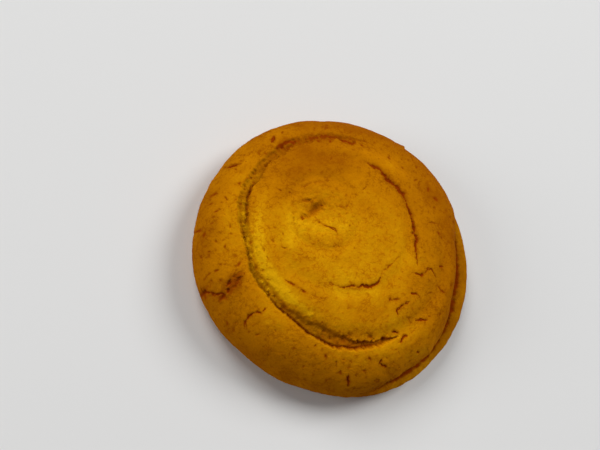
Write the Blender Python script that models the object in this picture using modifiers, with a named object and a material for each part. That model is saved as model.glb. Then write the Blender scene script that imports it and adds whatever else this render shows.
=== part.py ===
"""A baked lemon cookie: a rope of dough coiled flat, risen into a low dome and cracked along its coil.

The body starts as a plain turned dome. Its rings then follow the coil, the mesh is made finer where
the crust has torn, and every point is moved by the relief: the shallow dips between the turns of
the coil, the wide open seam, the narrow tears, the dimple in the middle and the foot that stands out
on one side. Metres, +Z up, resting on z = 0.
"""

import math

import bmesh
import bpy
import numpy as np

MM = 0.001
NAME = "lemon_cookie"

# The plain turned dome.
RADIUS = 35.0 * MM
HEIGHT = 19.2 * MM
WIDEST_Z = 5.5 * MM  # height of the widest ring
BASE_IN = 2.5 * MM  # how far the flat base stops short of the widest ring
DOME_POWER = 2.6  # 2 is an ellipse; more is flatter on top and rounder at the shoulder
OUTLINE_WAVES = (  # how the outline leaves a circle: waves a turn, cosine part, sine part
    (2, 0.22 * MM, -0.30 * MM),
    (3, -0.34 * MM, -0.12 * MM),
    (4, -0.02 * MM, 0.13 * MM),
    (5, 0.02 * MM, -0.11 * MM),
)

# The coil's turns, from the outside in: centre, radius, depth and half-width of the dip between two turns.
COIL_DIPS = (
    ((0.0 * MM, 1.5 * MM), 25.0 * MM, 0.80 * MM, 2.3 * MM),
    ((-2.4 * MM, 4.2 * MM), 17.3 * MM, 0.35 * MM, 1.7 * MM),
    ((-7.0 * MM, 6.0 * MM), 9.0 * MM, 0.30 * MM, 1.3 * MM),
)

# The open seam between the outer turn and the rest.
SEAM_CENTRE = (0.0 * MM, 1.5 * MM)
SEAM_RADIUS = 25.9 * MM  # the outer lip's mean circle
SEAM_COURSE = (  # degrees round the seam, the lip outside its circle, opening, depth
    (-290.0, -0.4 * MM, 0.0 * MM, 0.0 * MM),
    (-276.0, 0.2 * MM, 0.9 * MM, 0.8 * MM),
    (-262.0, 1.7 * MM, 2.3 * MM, 1.3 * MM),
    (-245.0, 2.4 * MM, 2.2 * MM, 1.4 * MM),
    (-225.0, 2.3 * MM, 2.4 * MM, 1.4 * MM),
    (-205.0, 2.0 * MM, 2.1 * MM, 1.4 * MM),
    (-190.0, 1.4 * MM, 2.5 * MM, 1.5 * MM),
    (-181.0, -0.2 * MM, 1.9 * MM, 1.5 * MM),
    (-168.0, -0.8 * MM, 2.1 * MM, 1.6 * MM),
    (-155.0, -0.4 * MM, 2.4 * MM, 1.7 * MM),
    (-133.0, -0.4 * MM, 2.6 * MM, 2.0 * MM),
    (-117.0, 0.4 * MM, 3.2 * MM, 2.4 * MM),
    (-108.0, 0.9 * MM, 3.3 * MM, 2.5 * MM),
    (-98.0, 0.6 * MM, 3.0 * MM, 2.5 * MM),
    (-88.0, 0.7 * MM, 1.6 * MM, 2.2 * MM),
    (-79.0, 0.6 * MM, 1.3 * MM, 1.9 * MM),
    (-74.0, 0.0 * MM, 0.9 * MM, 1.5 * MM),
    (-68.0, 0.2 * MM, 0.8 * MM, 1.0 * MM),
    (-64.0, 0.2 * MM, 0.0 * MM, 0.0 * MM),
)
SEAM_WANDER = ((9, 0.16 * MM, 2.1), (17, 0.12 * MM, 4.0), (31, 0.07 * MM, 0.6))  # waves, reach, phase
SEAM_WALL = 0.70 * MM  # run of the steep outer wall
SEAM_FLOOR = 0.45  # where the floor ends, as a share of the opening
CRUMB_SLOPE = (  # degrees round the seam, run of the torn crumb that climbs on inwards, its depth
    (-215.0, 0.0 * MM, 0.0 * MM),
    (-190.0, 1.2 * MM, 0.3 * MM),
    (-170.0, 3.0 * MM, 0.7 * MM),
    (-135.0, 3.0 * MM, 0.8 * MM),
    (-110.0, 1.6 * MM, 0.7 * MM),
    (-92.0, 0.0 * MM, 0.0 * MM),
)

# The dimple where the rope ends, and the hollow round it: centre, heading in degrees, half-length,
# half-width, depth.
DIMPLES = (
    ((-9.2 * MM, 7.2 * MM), 38.0, 2.6 * MM, 1.2 * MM, 1.7 * MM),
    ((-11.6 * MM, 8.7 * MM), 10.0, 1.3 * MM, 0.7 * MM, 0.7 * MM),
    ((-7.4 * MM, 5.6 * MM), 0.0, 5.0 * MM, 4.0 * MM, 0.8 * MM),
)

# The foot: the lower layer that stands out past the dome on one side, with a torn gap above it.
FOOT_COURSE = (  # degrees round the cookie, how far the dome pulls in, how far the foot pushes out
    (-76.0, 0.0 * MM, 0.0 * MM),
    (-69.0, 1.2 * MM, 0.1 * MM),
    (-48.0, 1.3 * MM, 0.2 * MM),
    (-31.0, 1.8 * MM, 0.8 * MM),
    (-12.0, 2.1 * MM, 1.3 * MM),
    (3.0, 2.0 * MM, 1.6 * MM),
    (9.0, 1.3 * MM, 1.3 * MM),
    (15.0, 0.3 * MM, 1.0 * MM),
    (24.0, -0.4 * MM, 0.7 * MM),
    (48.0, -0.4 * MM, 0.4 * MM),
    (54.0, 0.0 * MM, 0.0 * MM),
)
FOOT_WANDER = ((11, 0.14 * MM, 0.4), (19, 0.11 * MM, 2.6), (37, 0.07 * MM, 5.0))  # waves, reach, phase
FOOT_GAP_Z = 7.0 * MM
FOOT_GAP_HALF = 0.45 * MM
FOOT_GAP_IN = 0.5 * MM  # the gap's floor lies this far in from its lip
FOOT_GAP_DOWN = 1.7 * MM  # and this far below it
FOOT_WANDER_Z = 1.6 * MM  # how far above and below the gap its unevenness reaches
FOOT_FULL_Z = 5.2 * MM  # the foot stands all the way out below this
DOME_TUCK_Z = (15.0 * MM, 9.0 * MM)  # where the dome starts and ends pulling in

# The narrow tears: opening, depth and the route, as points in the plan.
TEARS = {
    "inner_seam_right": (1.1, 1.5, ((4.8, 20.3), (8.8, 18.2), (10.1, 16.0), (12.6, 14.1), (14.5, 10.4),
                                    (15.8, 6.4), (16.2, 2.0), (15.8, -1.0), (15.9, -5.8))),
    "inner_seam_front": (0.8, 1.0, ((6.0, -8.4), (5.2, -10.3), (2.9, -11.4), (-1.0, -11.6), (-3.1, -12.1),
                                    (-7.2, -10.8))),
    "eye_tail": (0.6, 0.5, ((-9.2, 5.2), (-7.3, 3.1), (-4.7, 2.2), (-4.3, 0.7))),
    "crumb_edge": (0.6, 0.5, ((-17.2, -9.8), (-15.0, -11.3), (-12.6, -12.9), (-11.0, -13.6))),
    "seam_end": (0.8, 0.9, ((10.3, -23.6), (11.4, -23.4), (12.0, -22.4), (13.3, -21.9))),
    "seam_end_above": (0.7, 0.7, ((8.8, -21.5), (9.6, -21.3), (11.1, -21.8))),
    "wave": (0.7, 0.8, ((14.2, -7.7), (16.6, -8.2), (18.9, -6.5), (20.0, -6.5), (21.6, -8.1))),
    "hook": (0.7, 0.8, ((13.2, -14.4), (10.7, -15.7), (9.6, -16.4), (9.9, -17.7))),
    "dash": (0.7, 0.8, ((15.4, -18.6), (16.6, -18.3), (18.7, -18.2))),
    "dash_above": (0.6, 0.6, ((13.2, -12.5), (14.6, -12.6), (16.0, -13.0))),
    "left_tear": (0.9, 1.0, ((-33.1, -11.0), (-31.6, -11.6), (-29.8, -12.0), (-29.0, -13.1))),
    "left_scab": (2.2, 0.7, ((-28.6, -11.4), (-27.2, -10.2), (-25.9, -8.1))),
    "left_branch": (0.7, 0.8, ((-25.0, -20.1), (-25.0, -18.7), (-23.7, -17.2), (-20.6, -16.1))),
    "back_notch": (0.9, 0.9, ((-28.0, 19.6), (-27.6, 18.7), (-24.9, 19.3))),
    "back_tear": (0.9, 0.9, ((-17.7, 24.6), (-16.9, 26.1), (-16.4, 27.6))),
    "front_tick": (0.7, 0.8, ((6.7, -27.2), (6.1, -28.4), (8.4, -29.3))),
    "front_slit": (0.9, 1.0, ((-1.2, -30.8), (-0.9, -32.2), (-0.2, -33.6))),
}

# The mesh.
SEGMENTS = 104
RING_STEP = 1.75 * MM
FINE_RING_STEP = 0.68 * MM  # across the open seam and the foot's gap
SEAM_BAND = (-4.2 * MM, 1.3 * MM)  # fine rings, from this far inside the lip to this far outside it
GAP_BAND = (4.6 * MM, 8.6 * MM)  # fine rings between these heights
TEAR_REACH = 0.75 * MM  # edges this near a tear's side are halved
TEAR_EDGE = 0.62 * MM  # down to about this length
PROFILE_SAMPLES = 2000

CRUST_COLOUR = (0.50, 0.22, 0.006, 1.0)
CRUST_ROUGHNESS = 0.75


def clear_scene():
    """Remove what the scene holds."""
    for old in list(bpy.data.objects):
        bpy.data.objects.remove(old, do_unlink=True)


def smooth(value):
    """0 below 0, 1 above 1, and an even S between."""
    value = np.clip(value, 0.0, 1.0)
    return value * value * (3.0 - 2.0 * value)


def bell(value):
    """1 at 0, falling away on both sides."""
    return np.exp(-value * value)


def table(degrees, rows, column):
    """The value of one column at each angle, read between the rows."""
    angles = [row[0] for row in rows]
    return np.interp(degrees, angles, [row[column] for row in rows])


# ---- the plain dome ----


def dome_z(radius):
    """The plain dome's height over a radius."""
    inside = np.clip(1.0 - np.clip(radius / RADIUS, 0.0, 1.0) ** DOME_POWER, 0.0, 1.0)
    return WIDEST_Z + (HEIGHT - WIDEST_Z) * np.sqrt(inside)


def profile_samples():
    """The dome's half section as closely set points, from the middle of the top to the base's edge."""
    half_turn = np.linspace(0.0, math.pi / 2.0, PROFILE_SAMPLES)
    top_radius = RADIUS * np.sin(half_turn) ** (2.0 / DOME_POWER)
    top_z = WIDEST_Z + (HEIGHT - WIDEST_Z) * np.cos(half_turn)
    side_radius = RADIUS - BASE_IN * (1.0 - np.cos(half_turn[1:]))
    side_z = WIDEST_Z * (1.0 - np.sin(half_turn[1:]))
    return np.concatenate([top_radius, side_radius]), np.concatenate([top_z, side_z])


def ring_step(radius, z):
    """The run along the section to the next ring."""
    in_seam = SEAM_BAND[0] <= radius - SEAM_RADIUS < SEAM_BAND[1] and z > WIDEST_Z
    in_gap = GAP_BAND[0] < z < GAP_BAND[1]
    return FINE_RING_STEP if in_seam or in_gap else RING_STEP


def profile_rings():
    """The rings of the turned dome, as (radius, z) from the middle of the top to the base's edge."""
    radius, z = profile_samples()
    run = np.concatenate([[0.0], np.cumsum(np.hypot(np.diff(radius), np.diff(z)))])
    stops = [0.0]
    while stops[-1] < run[-1]:
        here_radius = np.interp(stops[-1], run, radius)
        here_z = np.interp(stops[-1], run, z)
        stops.append(stops[-1] + ring_step(here_radius, here_z))
    stops = [stop for stop in stops if stop < run[-1] - 0.5 * RING_STEP] + [run[-1]]
    stops = np.array(stops)
    gap_run = np.interp(-FOOT_GAP_Z, -z, run)
    stops[np.argmin(np.abs(stops - gap_run))] = gap_run
    return list(zip(np.interp(stops, run, radius), np.interp(stops, run, z)))


def turned_dome():
    """The plain dome as a closed mesh: a half section turned about Z, down to the middle of the base."""
    rings = profile_rings() + [(0.0, 0.0)]
    section = bpy.data.meshes.new("section")
    points = [(radius, 0.0, z) for radius, z in rings]
    section.from_pydata(points, [(i, i + 1) for i in range(len(points) - 1)], [])
    turned = bpy.data.objects.new("section", section)
    bpy.context.scene.collection.objects.link(turned)
    screw = turned.modifiers.new("turn", "SCREW")
    screw.axis = "Z"
    screw.steps = SEGMENTS
    screw.render_steps = SEGMENTS
    screw.use_merge_vertices = True
    screw.merge_threshold = 0.01 * MM
    graph = bpy.context.evaluated_depsgraph_get()
    dome = bpy.data.meshes.new_from_object(turned.evaluated_get(graph))
    bpy.data.objects.remove(turned, do_unlink=True)
    bpy.data.meshes.remove(section)
    return dome


# ---- the coil's seam ----


def round_seam(x, y):
    """Distance from the seam's centre, and degrees round it from -300 to 60."""
    dx = x - SEAM_CENTRE[0]
    dy = y - SEAM_CENTRE[1]
    degrees = np.degrees(np.arctan2(dy, dx))
    return np.hypot(dx, dy), np.where(degrees > 60.0, degrees - 360.0, degrees)


def waves(angle, rows):
    """A slow uneven line: the sum of a few sine waves round the cookie."""
    return sum(reach * np.sin(count * angle + phase) for count, reach, phase in rows)


def seam_lip(degrees):
    """How far the outer lip lies outside its mean circle."""
    return table(degrees, SEAM_COURSE, 1) + waves(np.radians(degrees), SEAM_WANDER)


def follow_seam(x, y):
    """Shift the rings near the seam so that they run along its lip."""
    radius = np.hypot(x, y)
    near = smooth(radius / (12.0 * MM)) * smooth((33.0 * MM - radius) / (6.0 * MM))
    x = x + SEAM_CENTRE[0] * near
    y = y + SEAM_CENTRE[1] * near
    distance, degrees = round_seam(x, y)
    open_here = smooth(table(degrees, SEAM_COURSE, 2) / (0.8 * MM))
    pull = seam_lip(degrees) * open_here * bell((distance - SEAM_RADIUS) / (4.0 * MM))
    grow = 1.0 + pull / np.maximum(distance, MM)
    return SEAM_CENTRE[0] + (x - SEAM_CENTRE[0]) * grow, SEAM_CENTRE[1] + (y - SEAM_CENTRE[1]) * grow


def seam_depth(x, y):
    """Depth of the open seam: a steep outer wall, a floor close to it and a climb inwards."""
    distance, degrees = round_seam(x, y)
    opening = np.maximum(table(degrees, SEAM_COURSE, 2), 0.01 * MM)
    inwards = SEAM_RADIUS + seam_lip(degrees) - distance
    wall = smooth(inwards / np.minimum(SEAM_WALL, 0.45 * opening))
    climb = smooth((inwards / opening - SEAM_FLOOR) / (1.0 - SEAM_FLOOR))
    slope_run = np.maximum(table(degrees, CRUMB_SLOPE, 1), 0.01 * MM)
    slope = smooth((inwards - 0.7 * opening) / (slope_run + 0.3 * opening))
    depth = table(degrees, SEAM_COURSE, 3) * (1.0 - climb) + table(degrees, CRUMB_SLOPE, 2) * (1.0 - slope)
    return wall * depth


# ---- the rest of the relief ----


def dip_depth(x, y):
    """Depth of the shallow dips between the turns of the coil."""
    total = np.zeros_like(x)
    for (centre_x, centre_y), radius, depth, half_width in COIL_DIPS:
        total += depth * bell((np.hypot(x - centre_x, y - centre_y) - radius) / half_width)
    return total


def dimple_depth(x, y):
    """Depth of the dimples in the middle of the coil."""
    total = np.zeros_like(x)
    for (centre_x, centre_y), heading, half_length, half_width, depth in DIMPLES:
        cosine = math.cos(math.radians(heading))
        sine = math.sin(math.radians(heading))
        along = (x - centre_x) * cosine + (y - centre_y) * sine
        across = (y - centre_y) * cosine - (x - centre_x) * sine
        total += depth * bell(np.hypot(along / half_length, across / half_width))
    return total


def distance_to_route(x, y, route):
    """Distance from each point to a route in the plan, and how far along it the nearest point lies, 0 to 1."""
    corners = np.array(route) * MM
    lengths = np.hypot(*np.diff(corners, axis=0).T)
    before = np.concatenate([[0.0], np.cumsum(lengths)])
    nearest = np.full(x.shape, np.inf)
    along = np.zeros(x.shape)
    for start, end, length, run in zip(corners, corners[1:], lengths, before):
        step = (end - start) / length
        ahead = np.clip((x - start[0]) * step[0] + (y - start[1]) * step[1], 0.0, length)
        away = np.hypot(x - start[0] - ahead * step[0], y - start[1] - ahead * step[1])
        closer = away < nearest
        nearest = np.where(closer, away, nearest)
        along = np.where(closer, (run + ahead) / before[-1], along)
    return nearest, along


def tear_depth(x, y):
    """Depth of the narrow tears, each a V that closes towards its ends."""
    deepest = np.zeros_like(x)
    for opening, depth, route in TEARS.values():
        away, along = distance_to_route(x, y, route)
        taper = np.sqrt(np.clip(4.0 * along * (1.0 - along) * 1.6, 0.05, 1.0))
        cut = depth * MM * taper * (1.0 - smooth(away / (0.5 * opening * MM * taper)))
        deepest = np.maximum(deepest, cut)
    return deepest


def outline_scale(angle):
    """The outline's radius over the plain circle's."""
    uneven = sum(c * np.cos(n * angle) + s * np.sin(n * angle) for n, c, s in OUTLINE_WAVES)
    return 1.0 + uneven / RADIUS


def foot_shift(angle, z):
    """How far a point of the side moves out and up, for the foot, the gap and the dome's tucked edge."""
    degrees = np.degrees(angle)
    present = smooth(table(degrees, FOOT_COURSE, 1) / MM)
    uneven = waves(angle, FOOT_WANDER) * present
    gap = present * bell((z - FOOT_GAP_Z) / FOOT_GAP_HALF)
    tucked = smooth((DOME_TUCK_Z[0] - z) / (DOME_TUCK_Z[0] - DOME_TUCK_Z[1]))
    on_foot = smooth((FOOT_GAP_Z - z) / (FOOT_GAP_Z - FOOT_FULL_Z))
    pull_in = (table(degrees, FOOT_COURSE, 1) + uneven) * tucked * (1.0 - on_foot)
    push_out = table(degrees, FOOT_COURSE, 2) * on_foot
    lift = uneven * bell((z - FOOT_GAP_Z) / FOOT_WANDER_Z)
    return push_out - pull_in - FOOT_GAP_IN * gap, lift - FOOT_GAP_DOWN * gap


def sculpt(points):
    """Move the plain dome's points to the baked surface."""
    x, y, z = points.T
    radius = np.hypot(x, y)
    angle = np.arctan2(y, x)
    on_top = (z > WIDEST_Z) & (radius < RADIUS)
    plan_x, plan_y = follow_seam(x, y)
    plan_radius = np.hypot(plan_x, plan_y)
    fade = smooth((RADIUS - radius) / (1.0 * MM))
    relief = dip_depth(plan_x, plan_y) + dimple_depth(plan_x, plan_y) + seam_depth(plan_x, plan_y)
    relief = np.maximum(relief, relief * 0.5 + tear_depth(plan_x, plan_y))
    top_z = dome_z(plan_radius) - relief * fade
    new_x = np.where(on_top, plan_x, x)
    new_y = np.where(on_top, plan_y, y)
    new_z = np.where(on_top, top_z, z)
    beside = np.maximum(np.hypot(new_x, new_y), 0.01 * MM)
    foot_out, foot_up = foot_shift(angle, z)
    out = outline_scale(angle) + np.where(radius > BASE_IN, foot_out / beside, 0.0)
    return np.column_stack([new_x * out, new_y * out, new_z + np.where(on_top, foot_up, 0.0)])


# ---- the mesh ----


def coordinates(bm):
    """Every vertex as a row of an array."""
    return np.array([vertex.co for vertex in bm.verts])


def refine_at_tears(bm):
    """Halve the long edges near the tears until each is short enough to show one."""
    for _ in range(3):
        bm.edges.ensure_lookup_table()
        ends = np.array([[v.co for v in edge.verts] for edge in bm.edges])
        middle = ends.mean(axis=1)
        length = np.linalg.norm(ends[:, 0] - ends[:, 1], axis=1)
        plan_x, plan_y = follow_seam(middle[:, 0], middle[:, 1])
        near = np.zeros(len(middle), dtype=bool)
        for opening, _depth, route in TEARS.values():
            away, _along = distance_to_route(plan_x, plan_y, route)
            near |= away < 0.5 * opening * MM + TEAR_REACH * np.clip(length / (2.0 * TEAR_EDGE), 0.6, 1.5)
        chosen = near & (length > TEAR_EDGE * 1.3) & (middle[:, 2] > WIDEST_Z)
        edges = [bm.edges[i] for i in np.flatnonzero(chosen)]
        if not edges:
            break
        bmesh.ops.subdivide_edges(bm, edges=edges, cuts=1)
        bmesh.ops.triangulate(bm, faces=bm.faces[:])


def flatten_base(bm):
    """Join the flat base's faces into one."""
    flat = [face for face in bm.faces if all(vertex.co.z < 0.01 * MM for vertex in face.verts)]
    bmesh.ops.dissolve_faces(bm, faces=flat)


def crust_material():
    """The crust's plain colour."""
    material = bpy.data.materials.new("crust")
    material.use_nodes = True
    shader = material.node_tree.nodes["Principled BSDF"]
    shader.inputs["Base Color"].default_value = CRUST_COLOUR
    shader.inputs["Roughness"].default_value = CRUST_ROUGHNESS
    shader.inputs["Metallic"].default_value = 0.0
    material.diffuse_color = CRUST_COLOUR
    return material


def cookie(collection):
    """The whole cookie, its box centred on the origin and its base on z = 0."""
    mesh = turned_dome()
    mesh.name = NAME
    bm = bmesh.new()
    bm.from_mesh(mesh)
    flatten_base(bm)
    bmesh.ops.triangulate(bm, faces=bm.faces[:])
    refine_at_tears(bm)
    points = sculpt(coordinates(bm))
    points[:, :2] -= 0.5 * (points[:, :2].min(axis=0) + points[:, :2].max(axis=0))
    for vertex, place in zip(bm.verts, points):
        vertex.co = place
    bmesh.ops.recalc_face_normals(bm, faces=bm.faces[:])
    bm.to_mesh(mesh)
    bm.free()
    mesh.shade_smooth()
    mesh.set_sharp_from_angle(angle=math.radians(50.0))
    mesh.materials.append(crust_material())
    solid = bpy.data.objects.new(NAME, mesh)
    collection.objects.link(solid)
    return solid


def main():
    """Build the cookie in its own collection."""
    clear_scene()
    collection = bpy.data.collections.new(NAME)
    bpy.context.scene.collection.children.link(collection)
    cookie(collection)


main()
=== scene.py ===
"""The looks of a baked lemon cookie, and the plain studio it lies in.

A rope of dough is coiled flat and baked into a low dome. Its crust is golden and matt, browner on the
high places, and it has torn along the coil: wide open where the outer turn has come away, so that the
crumb shows, and in narrow cracks elsewhere. Metres, +Z up, the base on z = 0. Sizes that stand in rows
of plain numbers are in millimetres.
"""

import logging
import math
from collections.abc import Iterator
from dataclasses import dataclass, field
from enum import Enum

import bpy
import numpy as np
from mathutils import Matrix, Vector

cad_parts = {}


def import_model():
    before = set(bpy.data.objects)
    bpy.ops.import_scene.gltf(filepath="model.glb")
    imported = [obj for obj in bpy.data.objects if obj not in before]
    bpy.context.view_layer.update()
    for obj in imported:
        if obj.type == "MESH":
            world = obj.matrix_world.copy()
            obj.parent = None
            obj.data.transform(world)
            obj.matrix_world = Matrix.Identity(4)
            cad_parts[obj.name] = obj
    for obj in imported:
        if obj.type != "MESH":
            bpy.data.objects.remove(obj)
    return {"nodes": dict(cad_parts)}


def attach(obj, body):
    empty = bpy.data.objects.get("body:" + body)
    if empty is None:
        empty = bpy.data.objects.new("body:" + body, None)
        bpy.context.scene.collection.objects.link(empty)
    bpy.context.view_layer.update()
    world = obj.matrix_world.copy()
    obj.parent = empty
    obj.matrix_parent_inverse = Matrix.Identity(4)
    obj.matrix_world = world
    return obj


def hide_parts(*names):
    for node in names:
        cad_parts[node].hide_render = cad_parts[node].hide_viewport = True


MM = 0.001
TINY = 0.001 * MM  # anything shorter counts as nothing
NODE = "lemon_cookie"
BOX_MIDDLE = (0.4396 * MM, -0.0250 * MM)  # the middle of the cookie's box, from the dome's axis
LOOK_Z = 8.0 * MM  # the height that the camera and the lamps are turned to

log = logging.getLogger("lemon_cookie")

Route = tuple[tuple[float, float], ...]
Rows = tuple[tuple[float, ...], ...]


def smooth(value: np.ndarray) -> np.ndarray:
    """Rise evenly from 0 below 0 to 1 above 1."""
    value = np.clip(value, 0.0, 1.0)
    return value * value * (3.0 - 2.0 * value)


def bell(value: np.ndarray) -> np.ndarray:
    """Return 1 at 0, falling away on both sides."""
    return np.exp(-value * value)


def waves(angle: np.ndarray, rows: Rows) -> np.ndarray:
    """Add up sine waves, from rows of a count in a turn, a reach in millimetres and a phase."""
    return sum(reach * MM * np.sin(count * angle + phase) for count, reach, phase in rows)


def from_oval(
    dx: np.ndarray, dy: np.ndarray, turn: float, half_length: float, half_width: float
) -> np.ndarray:
    """Measure how far points lie from the middle of an oval.

    Args:
        dx: How far each point lies from the middle along X.
        dy: How far it lies from the middle along Y.
        turn: The oval's heading in radians.
        half_length: Half the oval's length, along its heading.
        half_width: Half the oval's width.

    Returns:
        The distances, 0 in the middle and 1 on the oval's edge.
    """
    along = (dx * math.cos(turn) + dy * math.sin(turn)) / half_length
    across = (dy * math.cos(turn) - dx * math.sin(turn)) / half_width
    return np.hypot(along, across)


def numbers(
    items: bpy.types.bpy_prop_collection, name: str, width: int = 1, kind: type = float
) -> np.ndarray:
    """Read one property of all points, corners or faces of a mesh.

    Args:
        items: The points, corners or faces, or the values of a layer.
        name: The property's name.
        width: How many numbers it has for each item.
        kind: The type of the numbers.

    Returns:
        All the numbers in one row.
    """
    values = np.empty(len(items) * width, dtype=kind)
    items.foreach_get(name, values)
    return values


class Table:
    """Values that change from place to place. A column with a name in _mm is given in millimetres."""

    def __init__(self, columns: str, *rows: tuple[float, ...]) -> None:
        """Keep the rows, which rise in their first column, and the names of their columns."""
        self.columns = columns.split()
        self.rows = rows

    def column(self, name: str) -> list[float]:
        """Take one column out of the table.

        Args:
            name: The column's name.

        Returns:
            The column's values, with lengths in metres.
        """
        number = self.columns.index(name)
        unit = MM if name.endswith("_mm") else 1.0
        return [row[number] * unit for row in self.rows]

    def at(self, places: np.ndarray, name: str) -> np.ndarray:
        """Read one column between the rows, at any places along the first column."""
        return np.interp(places, self.column(self.columns[0]), self.column(name))


@dataclass(frozen=True)
class Unevenness:
    """A seeded field that drifts up and down through space, as lumps in dough do."""

    CELLS = 48  # along each side of the lattice of random values
    SHIFT = 0.37  # of the lattice, for each step of the seed
    SHIFT_SPAN = 17.0  # where the shifts start again
    FINER = 2.1  # how much finer each layer is than the one before
    FAINTER = 0.55  # and how much less it counts
    SEED_STEP = 31
    GAIN = 1.6  # brings the field's ends to about -1 and 1

    lump: float
    seed: int
    layers: int
    reach: float = 1.0

    def at(self, points: np.ndarray) -> np.ndarray:
        """Read the field.

        Args:
            points: Places in space, one a row, in metres.

        Returns:
            One value for each place, from about minus the reach to the reach.
        """
        total = np.zeros(len(points))
        share = 0.0
        for layer in range(self.layers):
            weight = self.FAINTER**layer
            places = points * (self.FINER**layer / self.lump)
            total += weight * self.one_layer(places, self.seed + self.SEED_STEP * layer)
            share += weight
        return self.reach * (self.GAIN * total / share)

    def one_layer(self, places: np.ndarray, seed: int) -> np.ndarray:
        """Read one layer of the field, from random values at whole numbers.

        Args:
            places: Places in units of the layer's own lumps.
            seed: The layer's seed.

        Returns:
            One value for each place, -1 to 1.
        """
        lattice = np.random.default_rng(seed).uniform(-1.0, 1.0, (self.CELLS,) * 3)
        places = places + (self.SHIFT * seed) % self.SHIFT_SPAN
        corner = np.floor(places).astype(np.int64)
        part = smooth(places - corner)
        sides = [(corner % self.CELLS, 1.0 - part), ((corner + 1) % self.CELLS, part)]
        value = np.zeros(len(places))
        for i, across in sides:
            for j, along in sides:
                for k, up in sides:
                    weight = across[:, 0] * along[:, 1] * up[:, 2]
                    value += weight * lattice[i[:, 0], j[:, 1], k[:, 2]]
        return value


@dataclass
class Skin:
    """The cookie's surface while it is shaped: its points on the plain dome, and what each is to show."""

    UPPER_Z = 3.0 * MM  # the upper side starts above this height

    places: np.ndarray
    outward: np.ndarray
    run: np.ndarray
    x: np.ndarray = field(init=False)
    y: np.ndarray = field(init=False)
    z: np.ndarray = field(init=False)
    depth: np.ndarray = field(init=False)
    # The crack mask carries the dark crack colour and painted shade in deep places; the browning added
    # here is partly painted shade.
    crack: np.ndarray = field(init=False)
    crumb: np.ndarray = field(init=False)
    toasted_and_shaded: np.ndarray = field(init=False)

    def __post_init__(self) -> None:
        """Start with no relief, on the plain dome."""
        self.x, self.y, self.z = self.places.T
        self.depth, self.crack, self.crumb, self.toasted_and_shaded = np.zeros((4, len(self.places)))

    def near(self, x: float, y: float, reach: float) -> np.ndarray:
        """Find the numbers of the upper side's points within a reach of a place."""
        around = (np.abs(self.x - x) < reach) & (np.abs(self.y - y) < reach)
        return np.flatnonzero(around & (self.z > self.UPPER_Z))

    def show_crack_and_shade(self, points: np.ndarray, amount: np.ndarray) -> None:
        """Darken some points at least this much with the dark crack colour, as in a crack, and as painted
        shade in deep places.
        """
        self.crack[points] = np.maximum(self.crack[points], amount)

    def show_crumb(self, points: np.ndarray, amount: np.ndarray) -> None:
        """Show at least this much of the torn crumb at some points."""
        self.crumb[points] = np.maximum(self.crumb[points], amount)


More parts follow.
